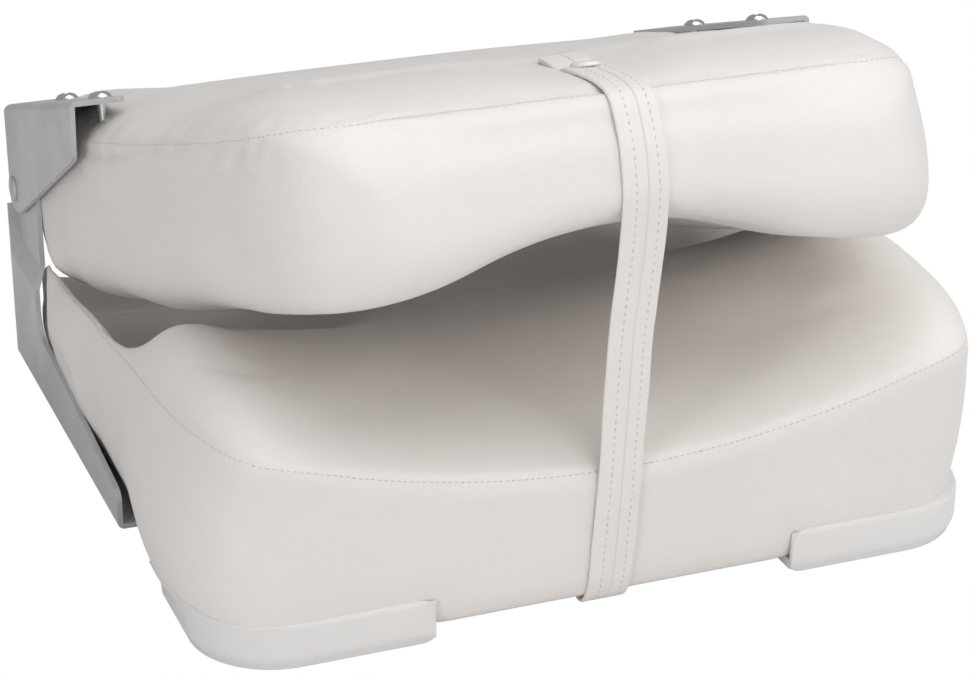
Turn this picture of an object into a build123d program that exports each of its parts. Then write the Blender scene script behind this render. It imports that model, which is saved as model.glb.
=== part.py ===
# Folding swivel boat seat, shown folded with its backrest face down and strapped shut.
# Millimetres. X runs across the seat, Y from the front edge (minus) to the hinges (plus), Z up.
# The origin is the middle of the mounting face under the swivel.
import os
from math import cos, radians, sin, tan

from build123d import *

os.makedirs("parts", exist_ok=True)

# Main sizes
seat_width = 436.0
seat_depth = 388.0
seat_pad_height = 132.0
seat_front_reach = 203.0
front_lean = 6.0
feet_clearance = 4.0
foot_height = 5.0
backrest_length = 424.0
backrest_side_set_in = 12.0
backrest_thickness = 108.0
fold_tilt = 18.0
pivot_behind_seat = 9.0
pivot_height = 112.0
sheet_thickness = 3.0
arm_stand_off = 1.5
fold_range = 92.0

# Clearances
running_play = 0.05
head_play = 0.1
soft_gap = 0.4
stop_gap = 0.3
cut_over = 2.0

# Places that follow from the main sizes
pad_bottom = feet_clearance + foot_height
seat_front = -seat_front_reach
seat_rear = seat_front + seat_depth
seat_half = seat_width / 2
backrest_width = seat_width - backrest_side_set_in * 2
pivot_y = seat_rear + pivot_behind_seat
pivot_z = pad_bottom + pivot_height
arm_outer_x = seat_half + arm_stand_off

# Directions of the folded backrest: along its length away from the hinge, and out of its back
tilt_cos = cos(radians(fold_tilt))
tilt_sin = sin(radians(fold_tilt))
along = Vector(0, -tilt_cos, tilt_sin)
outward = Vector(0, tilt_sin, tilt_cos)
hinge_end_from_pivot = 9.4
back_plane_from_pivot = 50.0
back_origin = Vector(0, pivot_y, pivot_z) + along * hinge_end_from_pivot + outward * back_plane_from_pivot


def back_station(distance):
    """Plane across the backrest, a distance along it from the hinge end."""
    return Plane(origin=back_origin + along * distance, x_dir=(1, 0, 0), z_dir=along)


def back_level(height):
    """Plane parallel to the backrest's back, its local Y running towards the hinges."""
    return Plane(origin=back_origin + outward * height, x_dir=(1, 0, 0), z_dir=outward)


# Swivel sizes
swivel_height = 22.0
swivel_plate_size = 178.0
swivel_plate_thickness = 3.0
swivel_corner_radius = 14.0
mount_spacing = 127.0
mount_hole_radius = 4.25
race_radius = 52.0
race_width = 26.0
race_rise = 5.0
ball_radius = 4.0
ball_count = 12
cage_thickness = 2.4
cage_width = 13.0
swivel_pin_radius = 7.0
swivel_pin_head_radius = 13.0
swivel_pin_head_height = 1.8
swivel_screw_spacing = 152.0
swivel_screw_radius = 2.4
swivel_screw_head_radius = 5.0
swivel_screw_head_height = 2.4
swivel_screw_length = 6.0
race_edge_radius = 1.2
middle_bore_radius = swivel_pin_radius + running_play

lower_plate_top = swivel_plate_thickness
upper_plate_bottom = swivel_height - swivel_plate_thickness
race_half_width = race_width / 2

# Lower swivel plate: square, with a raised ring that the balls run on
with BuildPart() as swivel_lower_plate:
    with BuildSketch(Plane.XY):
        RectangleRounded(swivel_plate_size, swivel_plate_size, swivel_corner_radius)
    extrude(amount=swivel_plate_thickness)
    with BuildSketch(Plane.XY.offset(lower_plate_top)):
        Circle(race_radius + race_half_width)
        Circle(race_radius - race_half_width, mode=Mode.SUBTRACT)
    extrude(amount=race_rise, taper=25)
    with BuildSketch(Plane.XY):
        Circle(race_radius + race_half_width - swivel_plate_thickness - race_edge_radius)
        Circle(race_radius - race_half_width + swivel_plate_thickness + race_edge_radius, mode=Mode.SUBTRACT)
    extrude(amount=race_rise, taper=25, mode=Mode.SUBTRACT)
    with Locations((0, 0, 0)):
        Cylinder(middle_bore_radius, swivel_height, mode=Mode.SUBTRACT)
    with GridLocations(mount_spacing, mount_spacing, 2, 2):
        Cylinder(mount_hole_radius, swivel_height, mode=Mode.SUBTRACT)
    race_top = lower_plate_top + race_rise
    ball_level = race_top + ball_radius - ball_radius * 0.25
    with BuildSketch(Plane.XZ):
        with Locations((race_radius, ball_level)):
            Circle(ball_radius + running_play)
    revolve(axis=Axis.Z, mode=Mode.SUBTRACT)
swivel_lower_plate.part.label = "swivel_lower_plate"

# Balls in a flat cage, half way between the plates
with BuildPart() as swivel_ball_cage:
    with BuildSketch(Plane.XY.offset(ball_level - cage_thickness / 2)):
        Circle(race_radius + cage_width / 2)
        Circle(race_radius - cage_width / 2, mode=Mode.SUBTRACT)
    extrude(amount=cage_thickness)
    with Locations((0, 0, ball_level)):
        with PolarLocations(race_radius, ball_count):
            Sphere(ball_radius)
swivel_ball_cage.part.label = "swivel_ball_cage"

# Upper swivel plate: the same pressing upside down
upper_ring_drop = upper_plate_bottom - (ball_level + ball_radius * 0.75)
with BuildPart() as swivel_upper_plate:
    with BuildSketch(Plane.XY.offset(upper_plate_bottom)):
        RectangleRounded(swivel_plate_size, swivel_plate_size, swivel_corner_radius)
    extrude(amount=swivel_plate_thickness)
    with BuildSketch(Plane.XY.offset(upper_plate_bottom)):
        Circle(race_radius + race_half_width)
        Circle(race_radius - race_half_width, mode=Mode.SUBTRACT)
    extrude(amount=-upper_ring_drop, taper=25)
    with Locations((0, 0, swivel_height)):
        Cylinder(middle_bore_radius, swivel_height, mode=Mode.SUBTRACT)
    with Locations((0, 0, swivel_height)):
        with GridLocations(swivel_screw_spacing, swivel_screw_spacing, 2, 2):
            Cylinder(swivel_screw_radius + running_play, swivel_height, mode=Mode.SUBTRACT)
    with BuildSketch(Plane.XZ):
        with Locations((race_radius, ball_level)):
            Circle(ball_radius + running_play)
    revolve(axis=Axis.Z, mode=Mode.SUBTRACT)
swivel_upper_plate.part.label = "swivel_upper_plate"

# Hollow rivet that holds the two swivel plates together and that the upper one turns on
with BuildPart() as swivel_center_rivet:
    with BuildSketch(Plane.XY.offset(lower_plate_top)):
        Circle(swivel_pin_radius)
    extrude(amount=swivel_height - lower_plate_top)
    with BuildSketch(Plane.XY):
        Circle(swivel_pin_radius)
    extrude(amount=swivel_plate_thickness)
    with BuildSketch(Plane.XY.offset(lower_plate_top)):
        Circle(swivel_pin_head_radius)
    extrude(amount=swivel_pin_head_height)
    with BuildSketch(Plane.XY.offset(swivel_height + head_play)):
        Circle(swivel_pin_head_radius)
    extrude(amount=swivel_pin_head_height)
    with BuildSketch(Plane.XY.offset(swivel_height)):
        Circle(swivel_pin_radius)
    extrude(amount=head_play)
    with Locations((0, 0, swivel_height)):
        Cylinder(swivel_pin_radius / 2, swivel_height * 3, mode=Mode.SUBTRACT)
swivel_center_rivet.part.label = "swivel_center_rivet"

# Seat pad form: a loft from the front edge to the rear, as shares of the seat's
# depth, half width and pad height: place, half width, seam, crest and middle
seat_station_shares = [
    (0.000, 0.838, 0.835, 0.785, 0.590),
    (0.028, 0.912, 0.856, 0.885, 0.645),
    (0.078, 0.952, 0.866, 0.960, 0.695),
    (0.175, 0.977, 0.853, 1.000, 0.730),
    (0.304, 0.987, 0.825, 1.000, 0.735),
    (0.433, 0.988, 0.785, 0.880, 0.690),
    (0.588, 0.981, 0.732, 0.700, 0.600),
    (0.768, 0.970, 0.684, 0.570, 0.500),
    (0.923, 0.952, 0.616, 0.490, 0.440),
    (1.000, 0.900, 0.465, 0.400, 0.370),
]
seat_lean_shares = [1.0, 0.8, 0.5, 0.2, 0, 0, 0, 0, 0, 0]
crest_place_share = 0.86
side_draw_share = 0.968


def seat_station(share, lean_share):
    """Plane across the seat; the first few lean forward at the top."""
    base = Plane(origin=(0, seat_front + seat_depth * share, pad_bottom), x_dir=(1, 0, 0), z_dir=(0, -1, 0))
    return base.rotated((front_lean * lean_share, 0, 0))


with BuildPart() as seat_form:
    for station, lean_share in zip(seat_station_shares, seat_lean_shares):
        place, half_share, seam_share, crest_share, middle_share = station
        half = seat_half * half_share
        seam = seat_pad_height * seam_share
        crest = seat_pad_height * crest_share
        middle = seat_pad_height * middle_share
        crest_x = half * crest_place_share
        foot_x = half * side_draw_share
        with BuildSketch(seat_station(place, lean_share)):
            with BuildLine():
                dish = ThreePointArc((-crest_x, crest), (0, middle), (crest_x, crest))
                right_shoulder = TangentArc((crest_x, crest), (half, seam), tangent=dish % 1)
                left_shoulder = TangentArc((-crest_x, crest), (-half, seam), tangent=(dish % 0) * -1)
                ThreePointArc((half, seam), ((half + foot_x) / 2 + half - foot_x, seam / 2), (foot_x, 0))
                ThreePointArc((-half, seam), (-(half + foot_x) / 2 - half + foot_x, seam / 2), (-foot_x, 0))
                Line((-foot_x, 0), (foot_x, 0))
            make_face()
    loft()

# Seat base sizes: a ribbed tray inside the pad's underside, with feet at its corners
base_inset = 11.0
base_half_share = 0.94
base_height = 21.0
base_wall = 3.0
base_corner_radius = 30.0
base_rear_inset = 20.0
rib_thickness = 2.4
rib_count_across = 5
rib_count_along = 5
rib_rise = 2.0
pad_block_size = 190.0
boss_radius = 6.0
boot_height = 22.0
boot_width = 119.0
boot_depth = 96.0
boot_wall = -2.5
boot_front_reach = 2.4
boot_corner_radius = 47.0
boot_end_radius = 7.0
boot_bottom_radius = 2.5
rear_foot_width = 56.0
rear_foot_depth = 36.0
rear_foot_side_inset = 80.0
rear_foot_inset = 15.0
rear_foot_radius = 9.0

base_half = seat_half * base_half_share - base_inset
base_front = seat_front + base_inset
base_rear = seat_rear - base_rear_inset
rear_foot_x = seat_half - rear_foot_side_inset
rear_foot_y = base_rear - rear_foot_inset
boot_inner_x = seat_half - boot_width
base_depth = base_rear - base_front
base_middle_y = (base_front + base_rear) / 2
base_top = pad_bottom + base_height
base_roof = base_top - base_wall
boot_half = seat_half + boot_wall
boot_front = seat_front - boot_front_reach
boot_outline_depth = boot_depth * 2

# Arm and screw places on the base
arm_screw_inset = 34.0
arm_screw_x = arm_outer_x - arm_screw_inset
arm_length = 250.0
arm_behind_pivot = 19.0
arm_screw_from_front = 35.0
arm_screw_from_rear = 85.0
arm_rear_y = pivot_y + arm_behind_pivot
arm_front_y = arm_rear_y - arm_length
arm_screw_front_y = arm_front_y + arm_screw_from_front
arm_screw_rear_y = arm_rear_y - arm_screw_from_rear
arm_screw_radius = 2.6
arm_screw_head_radius = 5.2
arm_screw_head_height = 2.2
arm_screw_length = 15.0
anchor_screw_spacing = 16.0
anchor_inset = 24.0
anchor_y = seat_front + anchor_inset
anchor_screw_radius = 1.8
anchor_screw_head_radius = 3.4
anchor_screw_head_height = 1.2
anchor_screw_length = 14.0
arm_screw_places = [
    (-arm_screw_x, arm_screw_front_y),
    (-arm_screw_x, arm_screw_rear_y),
    (arm_screw_x, arm_screw_front_y),
    (arm_screw_x, arm_screw_rear_y),
]
anchor_places = [(-anchor_screw_spacing / 2, anchor_y), (anchor_screw_spacing / 2, anchor_y)]

with BuildPart() as seat_base:
    with BuildSketch(Plane.XY.offset(pad_bottom)):
        with Locations((0, base_middle_y)):
            RectangleRounded(base_half * 2, base_depth, base_corner_radius)
    extrude(amount=base_height)
    with BuildSketch(Plane.XY.offset(pad_bottom)):
        with Locations((0, base_middle_y)):
            RectangleRounded(base_half * 2 - base_wall * 2, base_depth - base_wall * 2, base_corner_radius - base_wall)
    extrude(amount=base_height - base_wall, mode=Mode.SUBTRACT)
    with BuildSketch(Plane.XY.offset(pad_bottom + rib_rise)):
        with Locations((0, base_middle_y)):
            with GridLocations(base_half * 2 / (rib_count_along + 1), 0, rib_count_along, 1):
                Rectangle(rib_thickness, base_depth - base_wall)
            with GridLocations(0, base_depth / (rib_count_across + 1), 1, rib_count_across):
                Rectangle(base_half * 2 - base_wall, rib_thickness)
    extrude(amount=base_height - base_wall - rib_rise)
    with BuildSketch(Plane.XY):
        RectangleRounded(pad_block_size, pad_block_size, swivel_corner_radius)
    extrude(amount=swivel_height, mode=Mode.SUBTRACT)
    with BuildSketch(Plane.XY.offset(swivel_height)):
        RectangleRounded(pad_block_size, pad_block_size, swivel_corner_radius)
    extrude(amount=base_roof - swivel_height)
    with BuildSketch(Plane.XY.offset(pad_bottom)):
        with Locations(*arm_screw_places):
            Circle(boss_radius)
        with Locations(*anchor_places):
            Circle(boss_radius)
    extrude(amount=base_height - base_wall)
    with BuildPart(mode=Mode.PRIVATE) as boots:
        with BuildSketch(Plane.XY.offset(feet_clearance)):
            with Locations((0, boot_front + boot_outline_depth / 2)):
                RectangleRounded(boot_half * 2, boot_outline_depth, boot_corner_radius)
        extrude(amount=boot_height)
        fillet(boots.faces().sort_by(Axis.Z)[0].edges(), boot_bottom_radius)
        with BuildSketch(Plane.XY):
            with Locations((0, boot_front + boot_outline_depth / 2)):
                Rectangle(boot_inner_x * 2, boot_outline_depth + cut_over * 2)
            with Locations((0, boot_front + boot_depth + boot_outline_depth / 2)):
                Rectangle(boot_half * 2 + cut_over * 2, boot_outline_depth)
        extrude(amount=boot_height * 2, mode=Mode.SUBTRACT)
        fillet(boots.edges().filter_by(Axis.Z).group_by(Axis.Y)[-1], boot_end_radius)
        add(seat_form.part, mode=Mode.SUBTRACT)
        with BuildSketch(Plane.XY.offset(pad_bottom)):
            with Locations((0, boot_front + boot_outline_depth / 2)):
                Rectangle(base_half * 2, boot_outline_depth - base_inset * 2)
        extrude(amount=boot_height, mode=Mode.SUBTRACT)
    add(boots.part)
    with BuildSketch(Plane.XY.offset(feet_clearance)):
        with Locations((-rear_foot_x, rear_foot_y), (rear_foot_x, rear_foot_y)):
            RectangleRounded(rear_foot_width, rear_foot_depth, rear_foot_radius)
    extrude(amount=foot_height)
    with BuildSketch(Plane.XY):
        with Locations(*arm_screw_places):
            Circle(arm_screw_radius + running_play)
    extrude(amount=base_roof, mode=Mode.SUBTRACT)
    with BuildSketch(Plane.XY):
        with Locations(*anchor_places):
            Circle(anchor_screw_radius + running_play)
    extrude(amount=base_roof, mode=Mode.SUBTRACT)
    with BuildSketch(Plane.XY):
        with GridLocations(swivel_screw_spacing, swivel_screw_spacing, 2, 2):
            Circle(swivel_screw_radius + running_play)
    extrude(amount=swivel_height + swivel_screw_length, mode=Mode.SUBTRACT)
    with BuildSketch(Plane.XY):
        Circle(swivel_pin_head_radius + cut_over)
    extrude(amount=swivel_height + swivel_pin_head_height + cut_over, mode=Mode.SUBTRACT)
seat_base.part.label = "seat_base"

# Seat pad: the lofted form with the room for the base taken out of its underside
with BuildPart() as seat_cushion:
    add(seat_form.part)
    with BuildSketch(Plane.XY.offset(pad_bottom)):
        with Locations((0, base_middle_y)):
            RectangleRounded(base_half * 2, base_depth, base_corner_radius)
    extrude(amount=base_height, mode=Mode.SUBTRACT)
seat_cushion.part.label = "seat_cushion"

# Backrest pad form: a loft from the hinge end to the far end, as shares of the
# length, half width and thickness: place, half width, back, seam, bolster, middle
back_station_shares = [
    (0.000, 0.935, -0.120, -0.273, -0.654, -0.494),
    (0.033, 0.995, -0.030, -0.199, -0.824, -0.614),
    (0.118, 1.016, 0.008, -0.171, -0.962, -0.704),
    (0.283, 1.012, 0.018, -0.181, -1.092, -0.755),
    (0.519, 0.982, 0.020, -0.199, -1.112, -0.773),
    (0.740, 0.920, 0.012, -0.208, -1.098, -0.773),
    (0.840, 0.880, 0.000, -0.214, -1.089, -0.773),
    (0.900, 0.846, -0.052, -0.226, -1.079, -0.773),
    (0.945, 0.798, -0.130, -0.262, -1.054, -0.773),
    (0.980, 0.726, -0.264, -0.360, -0.974, -0.755),
    (1.000, 0.610, -0.421, -0.495, -0.834, -0.699),
]
back_flat_share = 0.80
back_crown_share = 0.030
roll_edge_share = 0.50
roll_drop_share = 0.50
bolster_place_share = 0.88
bolster_rise_share = 0.08
side_low_share = 0.68
side_bulge_share = 0.006
back_half = backrest_width / 2

with BuildPart() as backrest_form:
    for station in back_station_shares:
        place, half_share, back_share, seam_share, bolster_share, middle_share = station
        half = back_half * half_share
        back = backrest_thickness * back_share
        seam = backrest_thickness * seam_share
        bolster = backrest_thickness * bolster_share
        middle = backrest_thickness * middle_share
        depth = seam - bolster
        roll_x = half * roll_edge_share
        roll_y = middle + (bolster - middle) * roll_drop_share
        bolster_point = (half * bolster_place_share, bolster + depth * bolster_rise_share)
        side_low = (half * (1 - side_bulge_share), seam - depth * side_low_share)
        side_mid = (half, seam - depth * side_low_share / 2)
        seam_point = (half * (1 - side_bulge_share), seam)
        flat_point = (half * back_flat_share, back - backrest_thickness * back_crown_share)
        with BuildSketch(back_station(backrest_length * place)):
            with BuildLine():
                roll = ThreePointArc((-roll_x, roll_y), (0, middle), (roll_x, roll_y))
                right_bolster = TangentArc((roll_x, roll_y), bolster_point, tangent=roll % 1)
                TangentArc(bolster_point, side_low, tangent=right_bolster % 1)
                ThreePointArc(side_low, side_mid, seam_point)
                crown = ThreePointArc(flat_point, (0, back), (-flat_point[0], flat_point[1]))
                TangentArc(flat_point, seam_point, tangent=(crown % 0) * -1)
                TangentArc((-flat_point[0], flat_point[1]), (-seam_point[0], seam), tangent=crown % 1)
                ThreePointArc((-side_low[0], side_low[1]), (-half, side_mid[1]), (-seam_point[0], seam))
                left_bolster = TangentArc(
                    (-roll_x, roll_y), (-bolster_point[0], bolster_point[1]), tangent=(roll % 0) * -1
                )
                TangentArc(
                    (-bolster_point[0], bolster_point[1]), (-side_low[0], side_low[1]), tangent=left_bolster % 1
                )
            make_face()
    loft()

# Hinge sizes
bracket_set_in = 1.5
washer_thickness = 1.0
washer_radius = 11.0
bracket_length = 193.0
bracket_front_drop = 31.5
bracket_tip_drop = 65.0
bracket_rear_set = 9.5
bracket_front_set = 13.0
bracket_rear_distance = 15.6
bracket_corner_radius = 7.0
flange_width = 31.0
bend_radius = 4.0
flange_corner_radius = 8.0
bracket_screw_inset = 22.0
bracket_screw_first = 70.5
bracket_screw_second = 158.5
bracket_screw_radius = 2.6
bracket_screw_head_radius = 6.0
bracket_screw_head_height = 4.6
bracket_screw_length = 26.0
pivot_radius = 4.0
pivot_head_radius = 7.5
pivot_head_height = 2.0
pivot_tail_radius = 6.5
pivot_tail_height = 1.8

bracket_outer_x = arm_outer_x - bracket_set_in
bracket_screw_x = bracket_outer_x - bracket_screw_inset
bracket_inner_x = bracket_outer_x - sheet_thickness
arm_upper_outer_x = bracket_inner_x - washer_thickness
arm_upper_inner_x = arm_upper_outer_x - sheet_thickness
bracket_rear = -bracket_rear_set
bracket_front = bracket_rear + bracket_length
pivot_along = -hinge_end_from_pivot
pivot_level = -back_plane_from_pivot
side_plane = Plane(origin=back_origin + Vector(-bracket_inner_x, 0, 0), x_dir=along, z_dir=(-1, 0, 0))

# Upper bracket, left: a folded plate with its flange over the back of the backrest
bracket_rear_low = (pivot_along - bracket_rear_distance * 1.12, -bracket_tip_drop + bracket_rear_distance * 0.3)
bracket_tip = (pivot_along + bracket_rear_distance * 0.3, -bracket_tip_drop)
bracket_front_low = (bracket_front - bracket_front_set, -bracket_front_drop)

with BuildPart() as upper_bracket_left:
    with BuildSketch(back_station(bracket_rear_low[0] - cut_over)):
        with BuildLine():
            Polyline(
                (-bracket_outer_x, -bracket_tip_drop - cut_over),
                (-bracket_outer_x, 0),
                (-bracket_outer_x + flange_width, 0),
                (-bracket_outer_x + flange_width, -sheet_thickness),
                (-bracket_inner_x, -sheet_thickness),
                (-bracket_inner_x, -bracket_tip_drop - cut_over),
                close=True,
            )
        bracket_fold = make_face()
        fillet(bracket_fold.vertices().sort_by_distance((-bracket_outer_x, 0))[0], bend_radius)
    extrude(amount=bracket_front - bracket_rear_low[0] + cut_over)
    with BuildSketch(side_plane.offset(-flange_width)) as bracket_outline:
        with BuildLine():
            Polyline(
                (bracket_rear, 0),
                (bracket_front, 0),
                bracket_front_low,
                bracket_tip,
                bracket_rear_low,
                close=True,
            )
        make_face()
        fillet(bracket_outline.vertices().sort_by(Axis.Y)[:3], bracket_corner_radius)
        fillet(bracket_outline.vertices().sort_by_distance((bracket_rear, 0))[0], bracket_corner_radius)
    extrude(amount=flange_width + sheet_thickness + cut_over, mode=Mode.INTERSECT)
    with BuildSketch(back_level(-bracket_tip_drop - cut_over)) as flange_outline:
        with Locations((-bracket_outer_x + flange_width / 2, -(bracket_rear + bracket_front) / 2)):
            Rectangle(flange_width, bracket_length)
        fillet(flange_outline.vertices().group_by(Axis.X)[-1], flange_corner_radius)
        with Locations((-bracket_outer_x, -(bracket_rear_low[0] + bracket_front) / 2)):
            Rectangle(sheet_thickness * 4, bracket_front - bracket_rear_low[0] + cut_over)
    extrude(amount=bracket_tip_drop + cut_over * 2, mode=Mode.INTERSECT)
    with BuildSketch(side_plane.offset(-cut_over)):
        with Locations((pivot_along, pivot_level)):
            Circle(pivot_radius + running_play)
    extrude(amount=sheet_thickness + cut_over * 2, mode=Mode.SUBTRACT)
    with BuildSketch(back_level(-sheet_thickness - cut_over)):
        with Locations((-bracket_screw_x, -bracket_screw_first), (-bracket_screw_x, -bracket_screw_second)):
            Circle(bracket_screw_radius + running_play)
    extrude(amount=sheet_thickness + cut_over * 2, mode=Mode.SUBTRACT)
upper_bracket_left.part.label = "upper_bracket_left"

with BuildPart() as upper_bracket_right:
    mirror(upper_bracket_left.part, about=Plane.YZ)
upper_bracket_right.part.label = "upper_bracket_right"

# Lower arm sizes: leg under the seat's side, upright behind it, joggled in to pass the bracket
upright_width = 66.0
upright_upper_width = 60.0
leg_front_height = 22.0
leg_rear_height = 42.0
leg_corner_radius = 16.0
leg_nose_radius = 7.0
arm_flange_width = 48.0
joggle_low_drop = 47.0
joggle_high_drop = 35.0
arm_top_above_pivot = 16.0
arm_top_radius = 12.0
lip_width_y = 3.0
lip_root_drop = 8.0

upright_front_y = arm_rear_y - upright_width
upright_upper_front_y = arm_rear_y - upright_upper_width
joggle_low_z = pivot_z - joggle_low_drop
joggle_high_z = pivot_z - joggle_high_drop
lip_low_z = joggle_low_z - lip_root_drop

arm_bottom = pad_bottom - sheet_thickness
arm_top = pivot_z + arm_top_above_pivot

# Where the bracket's rear edge comes to lie when the backrest stands open
open_sin = sin(radians(fold_tilt + fold_range))
open_cos = cos(radians(fold_tilt + fold_range))
edge_points = [
    (along_reach * -open_cos + out_reach * open_sin, along_reach * open_sin + out_reach * open_cos)
    for along_reach, out_reach in (
        (bracket_rear - pivot_along, -pivot_level),
        (bracket_rear_low[0] - pivot_along, bracket_rear_low[1] - pivot_level),
    )
]
edge_slope = (edge_points[0][1] - edge_points[1][1]) / (edge_points[0][0] - edge_points[1][0])
lip_top = pivot_z + edge_points[1][1] + (arm_rear_y - pivot_y - edge_points[1][0]) * edge_slope - stop_gap
shoulder_z = lip_top
arm_flange_inner_x = arm_outer_x - arm_flange_width

with BuildPart() as hinge_arm_left:
    with BuildSketch(Plane.XZ.offset(-arm_rear_y)):
        with BuildLine():
            Polyline(
                (-arm_flange_inner_x, arm_bottom),
                (-arm_outer_x, arm_bottom),
                (-arm_outer_x, joggle_low_z),
                (-arm_upper_outer_x, joggle_high_z),
                (-arm_upper_outer_x, arm_top),
                (-arm_upper_inner_x, arm_top),
                (-arm_upper_inner_x, joggle_high_z),
                (-arm_outer_x + sheet_thickness, joggle_low_z),
                (-arm_outer_x + sheet_thickness, pad_bottom),
                (-arm_flange_inner_x, pad_bottom),
                close=True,
            )
        make_face()
    extrude(amount=arm_rear_y - arm_front_y)
    fold_edges = hinge_arm_left.edges().filter_by(Axis.Y).group_by(Axis.Z)[0].sort_by(Axis.X)
    fillet(fold_edges[0], bend_radius)
    with BuildSketch(Plane.YZ.offset(-arm_outer_x - cut_over)) as arm_outline:
        with BuildLine():
            Polyline(
                (arm_front_y, arm_bottom),
                (arm_rear_y, arm_bottom),
                (arm_rear_y, shoulder_z),
                (arm_rear_y - lip_width_y * 2, shoulder_z),
                (arm_rear_y - lip_width_y * 2, arm_top),
                (upright_upper_front_y, arm_top),
                (upright_upper_front_y, joggle_high_z),
                (upright_front_y, joggle_low_z),
                (upright_front_y, arm_bottom + leg_rear_height),
                (arm_front_y, arm_bottom + leg_front_height),
                close=True,
            )
        make_face()
        fillet(arm_outline.vertices().group_by(Axis.Y)[-1], arm_top_radius)
        leg_corner = arm_outline.vertices().sort_by_distance((upright_front_y, arm_bottom + leg_rear_height))[0]
        fillet(leg_corner, leg_corner_radius)
        leg_nose = arm_outline.vertices().sort_by_distance((arm_front_y, arm_bottom + leg_front_height))[0]
        fillet(leg_nose, leg_nose_radius)
    extrude(amount=arm_flange_width + cut_over * 2, mode=Mode.INTERSECT)
    with BuildSketch(Plane.XY.offset(lip_low_z)):
        with Locations((-(arm_outer_x + arm_upper_inner_x) / 2, arm_rear_y - lip_width_y / 2)):
            Rectangle(arm_outer_x - arm_upper_inner_x, lip_width_y)
    extrude(amount=lip_top - lip_low_z)
    with BuildSketch(Plane.YZ.offset(-arm_upper_outer_x - cut_over)):
        with Locations((pivot_y, pivot_z)):
            Circle(pivot_radius + running_play)
    extrude(amount=sheet_thickness + cut_over * 2, mode=Mode.SUBTRACT)
    with BuildSketch(Plane.XY):
        with Locations((-arm_screw_x, arm_screw_front_y), (-arm_screw_x, arm_screw_rear_y)):
            Circle(arm_screw_radius + running_play)
    extrude(amount=pad_bottom + cut_over, mode=Mode.SUBTRACT)
hinge_arm_left.part.label = "hinge_arm_left"

with BuildPart() as hinge_arm_right:
    mirror(hinge_arm_left.part, about=Plane.YZ)
hinge_arm_right.part.label = "hinge_arm_right"

# Pivot rivet and washer, left
with BuildPart() as pivot_rivet_left:
    with BuildSketch(Plane.YZ.offset(-bracket_outer_x - head_play)):
        with Locations((pivot_y, pivot_z)):
            Circle(pivot_radius)
    extrude(amount=bracket_outer_x + head_play - arm_upper_inner_x)
    with BuildSketch(Plane.YZ.offset(-bracket_outer_x - head_play)):
        with Locations((pivot_y, pivot_z)):
            Circle(pivot_head_radius)
    extrude(amount=-pivot_head_height)
    fillet(pivot_rivet_left.faces().sort_by(Axis.X)[0].edges(), pivot_head_height * 0.75)
    with BuildSketch(Plane.YZ.offset(-arm_upper_inner_x)):
        with Locations((pivot_y, pivot_z)):
            Circle(pivot_tail_radius)
    extrude(amount=pivot_tail_height)
    fillet(pivot_rivet_left.faces().sort_by(Axis.X)[-1].edges(), pivot_tail_height * 0.7)
pivot_rivet_left.part.label = "pivot_rivet_left"

with BuildPart() as pivot_rivet_right:
    mirror(pivot_rivet_left.part, about=Plane.YZ)
pivot_rivet_right.part.label = "pivot_rivet_right"

with BuildPart() as pivot_washer_left:
    with BuildSketch(Plane.YZ.offset(-bracket_inner_x + head_play)):
        with Locations((pivot_y, pivot_z)):
            Circle(washer_radius)
            Circle(pivot_radius + running_play, mode=Mode.SUBTRACT)
    extrude(amount=washer_thickness - head_play)
pivot_washer_left.part.label = "pivot_washer_left"

with BuildPart() as pivot_washer_right:
    mirror(pivot_washer_left.part, about=Plane.YZ)
pivot_washer_right.part.label = "pivot_washer_right"

# Board inside the backrest that the bracket screws bite into
board_thickness = 12.0
board_depth_in = 19.0
board_side_inset = 3.5
board_half = back_half - board_side_inset
board_outline_shares = [
    (0.849, 0.061),
    (1.000, 0.123),
    (1.000, 0.430),
    (0.879, 0.566),
    (0.741, 0.908),
]
board_outline = [
    (board_half * half_share, -backrest_length * place_share) for half_share, place_share in board_outline_shares
]
board_outline += [(-half, place) for half, place in reversed(board_outline)]
bracket_screw_places = [
    (-bracket_screw_x, -bracket_screw_first),
    (-bracket_screw_x, -bracket_screw_second),
    (bracket_screw_x, -bracket_screw_first),
    (bracket_screw_x, -bracket_screw_second),
]

with BuildPart() as backrest_board:
    with BuildSketch(back_level(-board_depth_in - board_thickness)):
        with BuildLine():
            Polyline(*board_outline, close=True)
        make_face()
    extrude(amount=board_thickness)
    with BuildSketch(back_level(-board_depth_in - board_thickness - cut_over)):
        with Locations(*bracket_screw_places):
            Circle(bracket_screw_radius + running_play)
    extrude(amount=board_thickness + cut_over * 2, mode=Mode.SUBTRACT)
backrest_board.part.label = "backrest_board"

# Snap stud sizes, on the back of the backrest where the strap ends
snap_along_share = 0.85
snap_along = backrest_length * snap_along_share
snap_stud_radius = 2.6
snap_base_radius = 6.5
snap_base_height = 1.9
snap_stud_height = 4.4
snap_shank_radius = 1.8
snap_shank_length = 24.0
snap_cap_radius = 7.0
snap_cap_height = 2.2
back_surface_share = -0.004
back_surface = backrest_thickness * back_surface_share

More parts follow.
